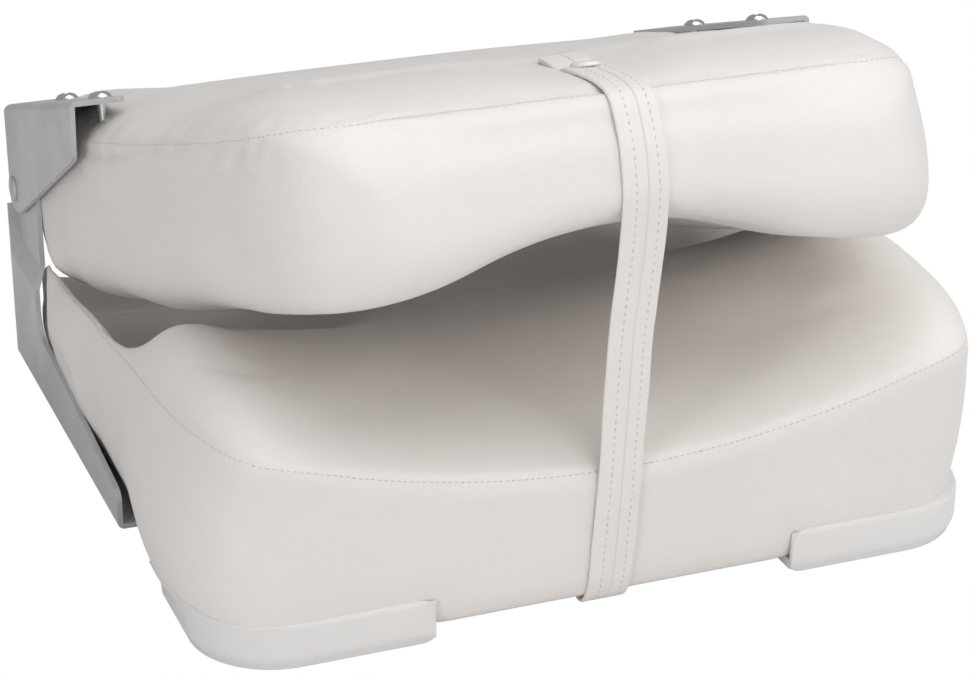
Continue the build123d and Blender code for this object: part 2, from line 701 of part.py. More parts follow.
# Backrest pad: the lofted form with room for the board, its screws and the snap stud
with BuildPart() as backrest_cushion:
    add(backrest_form.part)
    with BuildSketch(back_level(-board_depth_in - board_thickness)):
        with BuildLine():
            Polyline(*board_outline, close=True)
        make_face()
    extrude(amount=board_thickness, mode=Mode.SUBTRACT)
    with BuildSketch(back_level(-bracket_screw_length - cut_over)):
        with Locations(*bracket_screw_places):
            Circle(bracket_screw_radius + running_play)
    extrude(amount=bracket_screw_length + cut_over * 3, mode=Mode.SUBTRACT)
    with BuildSketch(back_level(back_surface - snap_shank_length)):
        with Locations((0, -snap_along)):
            Circle(snap_shank_radius + running_play)
    extrude(amount=snap_shank_length + cut_over, mode=Mode.SUBTRACT)
    with BuildSketch(back_level(back_surface)):
        with Locations((0, -snap_along)):
            Circle(snap_base_radius + soft_gap)
    extrude(amount=cut_over, mode=Mode.SUBTRACT)
backrest_cushion.part.label = "backrest_cushion"

with BuildPart() as snap_stud:
    with BuildSketch(back_level(back_surface - snap_shank_length / 2)):
        with Locations((0, -snap_along)):
            Circle(snap_shank_radius)
    extrude(amount=snap_shank_length / 2)
    with BuildSketch(back_level(back_surface + head_play)):
        with Locations((0, -snap_along)):
            Circle(snap_base_radius)
    extrude(amount=snap_base_height)
    with BuildSketch(back_level(back_surface)):
        with Locations((0, -snap_along)):
            Circle(snap_stud_radius)
    extrude(amount=snap_stud_height)
snap_stud.part.label = "snap_stud"

# Strap: a flat band from its anchor under the base, up the front and over the backrest
strap_width = 25.0
strap_thickness = 2.0
strap_off = strap_thickness / 2 + soft_gap
strap_half = strap_thickness / 2


def on_back(distance, level):
    """Side view point at a distance along the backrest and a level off its back plane."""
    spot = back_origin + along * distance + outward * level
    return (spot.Y, spot.Z)


strap_tab_lift = 4.0
strap_tab_length = 38.0
strap_back_level = back_surface + strap_off + snap_base_height + head_play
strap_under_z = pad_bottom - strap_off
strap_front_low_y = seat_front - strap_off - soft_gap
strap_points = [
    (anchor_y + anchor_screw_spacing * 0.6, strap_under_z),
    (strap_front_low_y, strap_under_z),
    on_back(backrest_length + strap_off + soft_gap * 2, -backrest_thickness * 0.715),
    on_back(backrest_length + strap_off + soft_gap * 2, -backrest_thickness * 0.36),
    on_back(backrest_length * 0.985, -backrest_thickness * 0.165),
    on_back(backrest_length * 0.950, -backrest_thickness * 0.060),
    on_back(backrest_length * 0.887, strap_back_level),
    on_back(snap_along - strap_tab_length * 0.4, strap_back_level),
    on_back(snap_along - strap_tab_length, strap_back_level + strap_tab_lift),
]
strap_bend_radii = [3.0, 20.0, 14.0, 18.0, 18.0, 30.0, 30.0]

with BuildPart() as strap:
    with BuildSketch(Plane.YZ.offset(-strap_width / 2)):
        with BuildLine() as strap_line:
            FilletPolyline(*strap_points, radius=strap_bend_radii)
        trace(strap_line.edges(), line_width=strap_thickness)
    extrude(amount=strap_width)
    with BuildSketch(Plane.XY):
        with Locations(*anchor_places):
            Circle(anchor_screw_radius + soft_gap)
    extrude(amount=pad_bottom, mode=Mode.SUBTRACT)
    with BuildSketch(back_level(back_surface)):
        with Locations((0, -snap_along)):
            Circle(snap_stud_radius + soft_gap)
    extrude(amount=snap_stud_height + strap_thickness * 2, mode=Mode.SUBTRACT)
strap.part.label = "strap"

# Snap cap with its socket, set in the strap over the stud
snap_cap_level = strap_back_level + strap_half + head_play
with BuildPart() as strap_snap_cap:
    with BuildSketch(back_level(snap_cap_level)):
        with Locations((0, -snap_along)):
            Circle(snap_cap_radius)
    extrude(amount=snap_cap_height)
    fillet(strap_snap_cap.edges().filter_by(GeomType.CIRCLE).sort_by(lambda edge: edge.center().Z)[-1], snap_cap_height / 2)
strap_snap_cap.part.label = "strap_snap_cap"

# Anchor plate that clamps the strap's end under the base
anchor_plate_width = 34.0
anchor_plate_depth = 12.0
anchor_plate_thickness = 1.2
anchor_plate_radius = 3.0
anchor_plate_top = strap_under_z - strap_half - head_play

with BuildPart() as strap_anchor_plate:
    with BuildSketch(Plane.XY.offset(anchor_plate_top - anchor_plate_thickness)):
        with Locations((0, anchor_y)):
            RectangleRounded(anchor_plate_width, anchor_plate_depth, anchor_plate_radius)
        with Locations(*anchor_places):
            Circle(anchor_screw_radius + running_play, mode=Mode.SUBTRACT)
    extrude(amount=anchor_plate_thickness)
strap_anchor_plate.part.label = "strap_anchor_plate"

for piece in (
    swivel_lower_plate,
    swivel_ball_cage,
    swivel_upper_plate,
    swivel_center_rivet,
    seat_base,
    seat_cushion,
    upper_bracket_left,
    upper_bracket_right,
    hinge_arm_left,
    hinge_arm_right,
    pivot_rivet_left,
    pivot_rivet_right,
    pivot_washer_left,
    pivot_washer_right,
    backrest_board,
    backrest_cushion,
    snap_stud,
    strap,
    strap_snap_cap,
    strap_anchor_plate,
):
    export_step(piece.part, "parts/" + piece.part.label + ".step")


def set_screw(name, seat_plane, place, radius, length, head_radius, head_height):
    """A domed screw: head out of the plane, shank into it."""
    with BuildPart() as screw:
        with BuildSketch(seat_plane):
            with Locations(place):
                Circle(head_radius)
        extrude(amount=head_height)
        fillet(screw.edges().filter_by(GeomType.CIRCLE).sort_by(lambda edge: edge.center().dot(seat_plane.z_dir))[-1],
               head_height * 0.8)
        with BuildSketch(seat_plane):
            with Locations(place):
                Circle(radius)
        extrude(amount=-length)
    screw.part.label = name
    export_step(screw.part, "parts/" + name + ".step")


down_plane = Plane(origin=(0, 0, arm_bottom), x_dir=(1, 0, 0), z_dir=(0, 0, -1))
for side, side_sign in (("left", -1), ("right", 1)):
    for spot, distance in (("rear", bracket_screw_first), ("front", bracket_screw_second)):
        set_screw(
            f"bracket_screw_{side}_{spot}", back_level(0), (side_sign * bracket_screw_x, -distance),
            bracket_screw_radius, bracket_screw_length, bracket_screw_head_radius, bracket_screw_head_height,
        )
    for spot, y in (("front", arm_screw_front_y), ("rear", arm_screw_rear_y)):
        set_screw(
            f"arm_screw_{side}_{spot}", down_plane, (side_sign * arm_screw_x, -y),
            arm_screw_radius, arm_screw_length, arm_screw_head_radius, arm_screw_head_height,
        )
    anchor_plane = Plane(origin=(0, 0, anchor_plate_top - anchor_plate_thickness), x_dir=(1, 0, 0), z_dir=(0, 0, -1))
    set_screw(
        f"anchor_screw_{side}", anchor_plane, (side_sign * anchor_screw_spacing / 2, -anchor_y),
        anchor_screw_radius, anchor_screw_length, anchor_screw_head_radius, anchor_screw_head_height,
    )
    for spot, spot_sign in (("front", -1), ("rear", 1)):
        swivel_plane = Plane(origin=(0, 0, upper_plate_bottom), x_dir=(1, 0, 0), z_dir=(0, 0, -1))
        set_screw(
            f"swivel_screw_{side}_{spot}", swivel_plane,
            (side_sign * swivel_screw_spacing / 2, -spot_sign * swivel_screw_spacing / 2),
            swivel_screw_radius, swivel_plate_thickness + swivel_screw_length - cut_over / 2,
            swivel_screw_head_radius, swivel_screw_head_height,
        )
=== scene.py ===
import math

import bmesh
import bpy
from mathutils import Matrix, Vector
from mathutils import noise
from mathutils.bvhtree import BVHTree


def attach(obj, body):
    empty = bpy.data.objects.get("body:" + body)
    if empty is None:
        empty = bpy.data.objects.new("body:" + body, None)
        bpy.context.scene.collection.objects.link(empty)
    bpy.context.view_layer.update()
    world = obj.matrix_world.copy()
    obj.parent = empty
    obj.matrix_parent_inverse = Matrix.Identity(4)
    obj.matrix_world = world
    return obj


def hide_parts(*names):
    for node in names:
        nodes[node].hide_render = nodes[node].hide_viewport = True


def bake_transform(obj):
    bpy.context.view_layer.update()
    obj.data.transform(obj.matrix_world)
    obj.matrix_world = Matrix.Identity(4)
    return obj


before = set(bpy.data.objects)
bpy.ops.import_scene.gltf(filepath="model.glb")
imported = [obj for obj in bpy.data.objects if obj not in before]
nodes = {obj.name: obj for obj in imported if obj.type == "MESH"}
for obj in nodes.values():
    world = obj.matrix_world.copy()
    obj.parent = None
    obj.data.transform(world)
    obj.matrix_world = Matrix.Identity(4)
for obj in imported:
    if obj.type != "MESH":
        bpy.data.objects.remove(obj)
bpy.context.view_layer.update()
collection = bpy.context.scene.collection
print("stage: frame loaded")

# Camera, at the photograph's place
cameraView = {
    "location": (-0.5081, -1.3302, 0.6921),
    "lookAt": (-0.0728, -0.2050, 0.1647),
    "lens": 101.711,
    "sensorWidth": 36.0,
}
cameraData = bpy.data.cameras.new("camera")
cameraData.lens = cameraView["lens"]
cameraData.sensor_width = cameraView["sensorWidth"]
cameraData.clip_end = 50
camera = bpy.data.objects.new("camera", cameraData)
collection.objects.link(camera)
camera.location = cameraView["location"]
sight = Vector(cameraView["lookAt"]) - Vector(cameraView["location"])
camera.rotation_euler = sight.to_track_quat("-Z", "Y").to_euler()
bpy.context.scene.camera = camera


# Node trees: an input takes another node's output or a plain value
def addNode(tree, kind, inputs, **settings):
    node = tree.nodes.new(kind)
    for label, value in settings.items():
        setattr(node, label, value)
    for label, value in inputs.items():
        if isinstance(value, bpy.types.NodeSocket):
            tree.links.new(value, node.inputs[label])
        else:
            node.inputs[label].default_value = value
    return node.outputs


def newGroup(name, treeKind, inputs, outputs):
    group = bpy.data.node_groups.new(name, treeKind)
    for label, kind, value in inputs:
        socket = group.interface.new_socket(name=label, in_out="INPUT", socket_type="NodeSocket" + kind)
        if value is not None:
            socket.default_value = value
    for label, kind in outputs:
        group.interface.new_socket(name=label, in_out="OUTPUT", socket_type="NodeSocket" + kind)
    return group, group.nodes.new("NodeGroupInput").outputs


def addMath(tree, operation, *values):
    return addNode(tree, "ShaderNodeMath", dict(enumerate(values)), operation=operation)[0]


def buildDrift():
    # Slow drift of a colour towards a second one, with roughness that wanders along
    group, entry = newGroup(
        "colour drift", "ShaderNodeTree",
        [("Coordinates", "Vector", None), ("Colour", "Color", (0.8, 0.8, 0.8, 1)),
         ("Drift Colour", "Color", (0.7, 0.7, 0.7, 1)), ("Scale", "Float", 8.0),
         ("Rough Low", "Float", 0.4), ("Rough High", "Float", 0.6)],
        [("Colour", "Color"), ("Roughness", "Float")],
    )
    cloud = addNode(group, "ShaderNodeTexNoise", {
        "Vector": entry["Coordinates"], "Scale": entry["Scale"], "Detail": 5.0, "Roughness": 0.6})
    spread = addNode(group, "ShaderNodeMapRange", {
        "Value": cloud["Fac"], "From Min": 0.35, "From Max": 0.70}, interpolation_type="SMOOTHSTEP")
    mixed = addNode(group, "ShaderNodeMix", {
        0: spread["Result"], 6: entry["Colour"], 7: entry["Drift Colour"]}, data_type="RGBA")
    rough = addNode(group, "ShaderNodeMapRange", {
        "Value": spread["Result"], "To Min": entry["Rough Low"], "To Max": entry["Rough High"]})
    addNode(group, "NodeGroupOutput", {"Colour": mixed[2], "Roughness": rough["Result"]})
    return group


def buildGrain():
    # Pebbled grain: small rounded cells with a finer noise over them
    group, entry = newGroup(
        "pebble grain", "ShaderNodeTree",
        [("Coordinates", "Vector", None), ("Cells", "Float", 900.0), ("Fine Share", "Float", 0.35)],
        [("Height", "Float")],
    )
    cells = addNode(group, "ShaderNodeTexVoronoi", {
        "Vector": entry["Coordinates"], "Scale": entry["Cells"]}, feature="DISTANCE_TO_EDGE")
    dome = addNode(group, "ShaderNodeMapRange", {
        "Value": cells["Distance"], "From Max": 0.35}, interpolation_type="SMOOTHSTEP")
    finer = addMath(group, "MULTIPLY", entry["Cells"], 2.3)
    specks = addNode(group, "ShaderNodeTexNoise", {
        "Vector": entry["Coordinates"], "Scale": finer, "Detail": 3.0})
    total = addMath(group, "MULTIPLY_ADD", specks["Fac"], entry["Fine Share"], dome["Result"])
    addNode(group, "NodeGroupOutput", {"Height": total})
    return group


def buildStroke():
    # Long fine strokes, as brushing or rolling leaves them
    group, entry = newGroup(
        "rolled strokes", "ShaderNodeTree",
        [("Coordinates", "Vector", None), ("Stretch", "Vector", (1.0, 1.0, 1.0)), ("Scale", "Float", 60.0)],
        [("Height", "Float")],
    )
    stretch = addNode(group, "ShaderNodeVectorMath", {
        0: entry["Coordinates"], 1: entry["Stretch"]}, operation="MULTIPLY")
    lines = addNode(group, "ShaderNodeTexNoise", {
        "Vector": stretch["Vector"], "Scale": entry["Scale"], "Detail": 4.0, "Roughness": 0.7})
    addNode(group, "NodeGroupOutput", {"Height": lines["Fac"]})
    return group


driftGroup = buildDrift()
grainGroup = buildGrain()
strokeGroup = buildStroke()


# Finishes: each drifts in colour and roughness, with a fine relief; bump is its depth and strength
def makeFinish(name, look):
    finish = bpy.data.materials.new(name)
    finish.use_nodes = True
    tree = finish.node_tree
    shader = tree.nodes["Principled BSDF"]
    for label, value in {"Metallic": 0.0, "IOR": 1.5, **look.get("shader", {})}.items():
        shader.inputs[label].default_value = value
    place = addNode(tree, "ShaderNodeTexCoord", {})["Object"]
    drift = addNode(tree, "ShaderNodeGroup", {
        "Coordinates": place, "Colour": (*look["colour"], 1), "Drift Colour": (*look["drift"], 1),
        "Scale": look["driftScale"], "Rough Low": look["rough"][0], "Rough High": look["rough"][1],
    }, node_tree=driftGroup)
    relief = addNode(tree, "ShaderNodeGroup", {
        "Coordinates": place, **look["relief"]}, node_tree=look["group"])
    depth, strength = look["bump"]
    bump = addNode(tree, "ShaderNodeBump", {
        "Height": relief["Height"], "Distance": depth, "Strength": strength})
    tree.links.new(drift["Colour"], shader.inputs["Base Color"])
    tree.links.new(drift["Roughness"], shader.inputs["Roughness"])
    tree.links.new(bump["Normal"], shader.inputs["Normal"])
    return finish


vinyl = makeFinish("cream vinyl", {
    "colour": (0.800, 0.762, 0.735), "drift": (0.775, 0.735, 0.705), "driftScale": 7.0, "rough": (0.40, 0.52),
    "group": grainGroup, "relief": {"Cells": 950.0}, "bump": (0.00010, 0.55),
    "shader": {"Sheen Weight": 0.05, "Sheen Roughness": 0.5},
})
thread = makeFinish("stitch thread", {
    "colour": (0.64, 0.60, 0.56), "drift": (0.55, 0.51, 0.48), "driftScale": 300.0, "rough": (0.6, 0.8),
    "group": strokeGroup, "relief": {"Scale": 2500.0}, "bump": (0.0001, 0.6),
})
plastic = makeFinish("white base plastic", {
    "colour": (0.765, 0.745, 0.730), "drift": (0.74, 0.722, 0.71), "driftScale": 14.0, "rough": (0.32, 0.44),
    "group": grainGroup, "relief": {"Cells": 1500.0, "Fine Share": 0.8}, "bump": (0.00005, 0.4),
    "shader": {"Subsurface Weight": 0.08, "Subsurface Radius": (0.004, 0.004, 0.004)},
})
plate = makeFinish("grey hinge plate", {
    "colour": (0.57, 0.57, 0.57), "drift": (0.52, 0.52, 0.515), "driftScale": 18.0, "rough": (0.38, 0.50),
    "group": strokeGroup, "relief": {"Stretch": (1.0, 0.08, 1.0), "Scale": 420.0}, "bump": (0.00006, 0.35),
    "shader": {"Metallic": 0.45},
})
steel = makeFinish("bright screw steel", {
    "colour": (0.72, 0.72, 0.73), "drift": (0.60, 0.60, 0.61), "driftScale": 120.0, "rough": (0.16, 0.30),
    "group": strokeGroup, "relief": {"Scale": 1400.0}, "bump": (0.00003, 0.4), "shader": {"Metallic": 1.0},
})
swivelSteel = makeFinish("zinc swivel steel", {
    "colour": (0.58, 0.57, 0.54), "drift": (0.50, 0.48, 0.42), "driftScale": 30.0, "rough": (0.30, 0.50),
    "group": grainGroup, "relief": {"Cells": 160.0, "Fine Share": 0.5}, "bump": (0.00005, 0.3),
    "shader": {"Metallic": 0.9},
})
nylon = makeFinish("nylon washer", {
    "colour": (0.78, 0.77, 0.73), "drift": (0.72, 0.71, 0.67), "driftScale": 60.0, "rough": (0.35, 0.5),
    "group": grainGroup, "relief": {"Cells": 2000.0}, "bump": (0.00004, 0.4),
})
wood = makeFinish("backrest board wood", {
    "colour": (0.46, 0.31, 0.17), "drift": (0.33, 0.20, 0.10), "driftScale": 4.0, "rough": (0.6, 0.8),
    "group": strokeGroup, "relief": {"Stretch": (12.0, 1.0, 12.0), "Scale": 30.0}, "bump": (0.0004, 0.6),
})
enamel = makeFinish("snap enamel", {
    "colour": (0.80, 0.77, 0.74), "drift": (0.74, 0.71, 0.68), "driftScale": 90.0, "rough": (0.22, 0.32),
    "group": strokeGroup, "relief": {"Scale": 500.0}, "bump": (0.00004, 0.3), "shader": {"Coat Weight": 0.3},
})

# The CAD nodes that aren't screw steel
nodeFinishes = {
    "seat_cushion": vinyl, "backrest_cushion": vinyl, "strap": vinyl, "seat_base": plastic,
    "upper_bracket_left": plate, "upper_bracket_right": plate, "hinge_arm_left": plate,
    "hinge_arm_right": plate, "pivot_rivet_left": plate, "pivot_rivet_right": plate,
    "pivot_washer_left": nylon, "pivot_washer_right": nylon, "backrest_board": wood, "strap_snap_cap": enamel,
    "swivel_lower_plate": swivelSteel, "swivel_upper_plate": swivelSteel,
    "swivel_center_rivet": swivelSteel, "swivel_ball_cage": swivelSteel,
}
for name, node in nodes.items():
    node.data.materials.clear()
    node.data.materials.append(nodeFinishes.get(name, steel))
print("stage: finishes made and put on the CAD nodes")


# Meshes: helpers that several pieces use
def linkPiece(name, data):
    piece = bpy.data.objects.new(name, data)
    collection.objects.link(piece)
    return piece


def addPiece(name, mesh, finishes):
    data = bpy.data.meshes.new(name)
    mesh.to_mesh(data)
    mesh.free()
    for finish in finishes:
        data.materials.append(finish)
    for polygon in data.polygons:
        polygon.use_smooth = True
    return linkPiece(name, data)


def freezePiece(name, guide, group, values):
    # Runs a node group on a guide and keeps what it makes as a plain piece
    modifier = guide.modifiers.new("made from guide", "NODES")
    modifier.node_group = group
    for socket in group.interface.items_tree:
        if socket.in_out == "INPUT" and socket.name in values:
            modifier[socket.identifier] = values[socket.name]
    seen = guide.evaluated_get(bpy.context.evaluated_depsgraph_get())
    data = bpy.data.meshes.new_from_object(seen)
    data.name = name
    bpy.data.objects.remove(guide)
    return linkPiece(name, data)


def addSmoother(piece):
    smoother = piece.modifiers.new("smoother", "SUBSURF")
    smoother.levels = 1
    smoother.render_levels = 1


def meshSkin(mesh):
    # A mesh's places, and its faces made ready for rays
    spots = [vertex.co.copy() for vertex in mesh.vertices]
    faces = [tuple(polygon.vertices) for polygon in mesh.polygons]
    return spots, BVHTree.FromPolygons(spots, faces)


def readSkin(piece):
    # A finished piece with its smoother counted in
    seen = piece.evaluated_get(bpy.context.evaluated_depsgraph_get())
    skin = meshSkin(seen.to_mesh())
    seen.to_mesh_clear()
    return skin


def fillBetween(mesh, rows, closed=True):
    # Quads between neighbouring rows of points
    for first, second in zip(rows, rows[1:]):
        size = len(first)
        for step in range(size if closed else size - 1):
            after = (step + 1) % size
            mesh.faces.new((first[step], second[step], second[after], first[after]))


def fillFan(mesh, pole, ring):
    for step in range(len(ring)):
        mesh.faces.new((pole, ring[step], ring[(step + 1) % len(ring)]))


def readTable(table, value):
    # Straight steps between the table's pairs
    if value <= table[0][0]:
        return table[0][1]
    for (low, first), (high, second) in zip(table, table[1:]):
        if value <= high:
            return first + (second - first) * (value - low) / (high - low)
    return table[-1][1]


def easeStep(value, low, high):
    share = min(1.0, max(0.0, (value - low) / (high - low)))
    return share * share * (3 - 2 * share)


# Pads: each is one closed skin of columns round a skeleton loop, read off the CAD solid
xAim = Vector((1, 0, 0))
rayReach = 0.5
rightAngle = math.radians(90)


def loopPlaces(pad):
    # Places and outward directions round a rounded rectangle, from one corner's middle to the next
    halfAcross, halfAlong = pad["skeletonHalf"]
    radius = pad["skeletonRadius"]
    steps = pad["cornerSteps"]
    places = []
    sides = [((0, -1), (1, 0)), ((1, 0), (0, 1)), ((0, 1), (-1, 0)), ((-1, 0), (0, -1))]
    for index, (facing, travel) in enumerate(sides):
        count = pad["columns"][index % 2]
        reach = (halfAlong, halfAcross) if index % 2 == 0 else (halfAcross, halfAlong)
        for step in range(count):
            if step < steps:
                turn = -math.radians(45) * (1 - step / steps)
                shift = -(reach[1] - radius)
            elif step > count - steps:
                turn = math.radians(45) * (step - count + steps) / steps
                shift = reach[1] - radius
            else:
                turn = 0.0
                shift = (reach[1] - radius) * (2 * (step - steps) / (count - 2 * steps) - 1)
            aim = Vector(facing) * math.cos(turn) + Vector(travel) * math.sin(turn)
            spot = Vector(facing) * (reach[0] - radius) + Vector(travel) * shift + aim * radius
            places.append((Vector((spot.x, spot.y + pad["skeletonMiddle"])), aim))
    return places


def padSpot(pad, across, along, level):
    return pad["origin"] + xAim * across + pad["along"] * along + pad["up"] * level


def padAim(pad, aim, angle):
    flat = xAim * aim.x + pad["along"] * aim.y
    return flat * math.cos(angle) + pad["up"] * math.sin(angle)


def levelOf(pad, spot):
    return (spot - pad["origin"]).dot(pad["up"])


def atLevel(pad, spot, level):
    return spot + pad["up"] * (level - levelOf(pad, spot))


def angleOf(pad, aim, offset):
    return math.atan2(offset.dot(pad["up"]), offset.dot(padAim(pad, aim, 0.0)))


def castIn(surface, middle, aim):
    # First meeting with the solid from outside, on the line towards the middle: place and normal
    return surface.ray_cast(middle + aim * rayReach, -aim)[:2]


def calmRow(reaches, limit):
    # A column that fell into a screw hole takes its neighbours' reach
    count = len(reaches)
    calm = list(reaches)
    for index in range(count):
        near = sorted(reaches[(index + step) % count] for step in (-3, -2, -1, 1, 2, 3))
        usual = (near[2] + near[3]) / 2
        if abs(reaches[index] - usual) > limit:
            calm[index] = usual
    return calm


def easeLoop(values, passes):
    count = len(values)
    for _ in range(passes):
        values = [(values[i - 1] + 2 * values[i] + values[(i + 1) % count]) / 4 for i in range(count)]
    return values


# The seam is guessed from a pad's tables, then moved onto the solid's own edge where one is close by
edgeSearch = {"step": math.radians(0.6), "count": 10, "fullBend": 0.5}
seamSearch = {"start": 0.03, "endAim": (0.35, 0.90), "passes": 3, "drop": 0.002}


def sharpAngle(surface, middle, pad, aim, guess):
    step = edgeSearch["step"]
    if pad["edgeBend"] is None:
        return guess + step / 2
    angle = guess + 5 * step
    best = (pad["edgeBend"], guess + step / 2, guess - step / 2)
    previous = castIn(surface, middle, padAim(pad, aim, angle))[1]
    for _ in range(edgeSearch["count"]):
        angle -= step
        normal = castIn(surface, middle, padAim(pad, aim, angle))[1]
        bend = 1 - previous.dot(normal)
        if bend > best[0]:
            best = (bend, angle + step, angle)
        previous = normal
    return best[1] if best[0] > edgeSearch["fullBend"] else (best[1] + best[2]) / 2


def seamAngle(surface, middle, pad, aim):
    # The angle at which the skin reaches the seam's level
    spot = middle + padAim(pad, aim, 0.0) * seamSearch["start"]
    fronting = easeStep(-aim.y, *seamSearch["endAim"])
    rearing = easeStep(aim.y, *seamSearch["endAim"])
    for _ in range(seamSearch["passes"]):
        level = readTable(pad["seamLevels"], (spot - pad["origin"]).dot(pad["along"]))
        level += (readTable(pad["frontSeam"], abs(spot.x)) - level) * fronting
        level += (readTable(pad["rearSeam"], abs(spot.x)) - level) * rearing
        found = None
        while found is None:
            found = castIn(surface, atLevel(pad, middle, level), padAim(pad, aim, 0.0))[0]
            level -= seamSearch["drop"]
        spot = found
    return sharpAngle(surface, middle, pad, aim, angleOf(pad, aim, spot - middle))


def fillGrid(rim, acrossCount, alongCount, height):
    # Coons patch over a closed rim of places, with heights from the solid
    def side(index, step):
        starts = [0, acrossCount, acrossCount + alongCount, 2 * acrossCount + alongCount]
        return rim[(starts[index] + step) % (2 * (acrossCount + alongCount))]

    corners = [side(index, 0) for index in range(4)]
    rows = []
    for j in range(1, alongCount):
        v = j / alongCount
        row = []
        for i in range(1, acrossCount):
            u = i / acrossCount
            bottom, top = side(0, i), side(2, acrossCount - i)
            left, right = side(3, alongCount - j), side(1, j)
            spot = (1 - v) * bottom + v * top + (1 - u) * left + u * right
            spot -= (1 - u) * (1 - v) * corners[0] + u * (1 - v) * corners[1]
            spot -= u * v * corners[2] + (1 - u) * v * corners[3]
            row.append(height(spot))
        rows.append(row)
    return rows


def gridFaces(mesh, rimVerts, inner, acrossCount, alongCount):
    total = len(rimVerts)

    def corner(i, j):
        if j == 0:
            return rimVerts[i]
        if i == acrossCount:
            return rimVerts[acrossCount + j]
        if j == alongCount:
            return rimVerts[(acrossCount + alongCount + acrossCount - i) % total]
        if i == 0:
            return rimVerts[(2 * acrossCount + alongCount + alongCount - j) % total]
        return inner[j - 1][i - 1]

    for j in range(alongCount):
        for i in range(acrossCount):
            mesh.faces.new((corner(i, j), corner(i + 1, j), corner(i + 1, j + 1), corner(i, j + 1)))


# Shared by both pads: strays that a column may have, how the top's rows crowd, and places at the foot
padBuild = {
    "seamStray": math.radians(4), "reachStray": 0.003, "topCrowd": 1.5, "footLift": 0.0012,
    "footInset": 0.004, "recessProbe": 0.010,
}


def padColumns(pad, surface):
    # Each column is its place on the skeleton, its outward direction and its middle in space
    columns = []
    for spot, aim in loopPlaces(pad):
        level = pad["ownLevel"]
        if level is None:
            top = surface.ray_cast(padSpot(pad, spot.x, spot.y, rayReach), -pad["up"])[0]
            level = (levelOf(pad, top) + pad["footLevel"]) / 2
        columns.append((spot, aim, padSpot(pad, spot.x, spot.y, level)))
    return columns


def rowAngles(pad, surface, columns):
    # Angles of each row, from the top's rim over the seam and down to the foot
    seams = [seamAngle(surface, middle, pad, aim) for spot, aim, middle in columns]
    seams = easeLoop(calmRow(seams, padBuild["seamStray"]), 2)
    feet = []
    for spot, aim, middle in columns:
        if pad["footLevel"] is None:
            feet.append(-rightAngle)
            continue
        raised = atLevel(pad, middle, pad["footLevel"] + padBuild["footLift"])
        foot = castIn(surface, raised, padAim(pad, aim, 0.0))[0] - middle
        feet.append(angleOf(pad, aim, foot))
    rows = []
    for step in range(pad["topRows"] + 1):
        share = (1 - step / pad["topRows"]) ** padBuild["topCrowd"]
        rows.append([seam + (rightAngle - seam) * share for seam in seams])
    for step in range(1, pad["sideRows"] + 1):
        share = step / pad["sideRows"]
        share = share * (0.5 + 0.5 * share)
        rows.append([seam + (foot - seam) * share for seam, foot in zip(seams, feet)])
    return rows


def castRows(mesh, pad, surface, columns):
    rows = []
    for angles in rowAngles(pad, surface, columns):
        rays = [(middle, padAim(pad, aim, angle)) for (spot, aim, middle), angle in zip(columns, angles)]
        reaches = [(castIn(surface, middle, ray)[0] - middle).length for middle, ray in rays]
        reaches = easeLoop(calmRow(reaches, padBuild["reachStray"]), 1)
        rows.append([mesh.verts.new(middle + ray * reach) for (middle, ray), reach in zip(rays, reaches)])
    return rows


def hollowFoot(mesh, pad, surface, columns, feet):
    # Edge, wall and roof of the room that the base fills in the pad's underside
    edge, wall, roof = [], [], []
    for (spot, aim, middle), foot in zip(columns, feet):
        outward = padAim(pad, aim, 0.0)
        low = padSpot(pad, spot.x, spot.y, pad["footLevel"] + padBuild["recessProbe"])
        inner = (surface.ray_cast(low, outward)[0] - low).length + pad["recessGap"]
        base = padSpot(pad, spot.x, spot.y, pad["footLevel"])
        reach = (foot.co - base).dot(outward)
        edge.append(mesh.verts.new(base + outward * (reach - padBuild["footInset"])))
        wall.append(mesh.verts.new(base + outward * inner))
        roof.append(mesh.verts.new(base + outward * inner + pad["up"] * pad["recessHeight"]))
    return edge, wall, roof


clearRamp = 0.35


def keepClear(verts, limits):
    # Draws in what would touch the arms or brackets: least y, lowest and highest z, most |x|
    for vert in verts:
        for leastY, lowZ, highZ, mostX in limits:
            outside = max(leastY - vert.co.y, lowZ - vert.co.z, vert.co.z - highZ, 0.0)
            allowed = mostX + outside * clearRamp
            if abs(vert.co.x) > allowed:
                vert.co.x = math.copysign(allowed, vert.co.x)


def relaxPad(mesh, pad, rows, held):
    # Softens the skin off the solid, then gives it the fullness and hollows of a stuffed cover
    seam = rows[pad["topRows"]]
    seamVerts = set(seam)
    soft = [vert for vert in mesh.verts if vert not in held]
    free = [vert for vert in soft if vert not in seamVerts]
    for _ in range(pad["smoothing"]):
        bmesh.ops.smooth_vert(mesh, verts=free, factor=0.5, use_axis_x=True, use_axis_y=True, use_axis_z=True)
    mesh.normal_update()
    for vert in soft:
        vert.co -= vert.normal * pad["shrink"]
    for spot, radius, push in pad["fuller"]:
        for vert in soft:
            away = (vert.co - Vector(spot)).length / radius
            if away < 1:
                vert.co += Vector(push) * (1 - away * away) ** 2
    pad["reshape"](soft, rows, pad["topRows"])
    keepClear(soft, pad["limits"])
    mesh.normal_update()


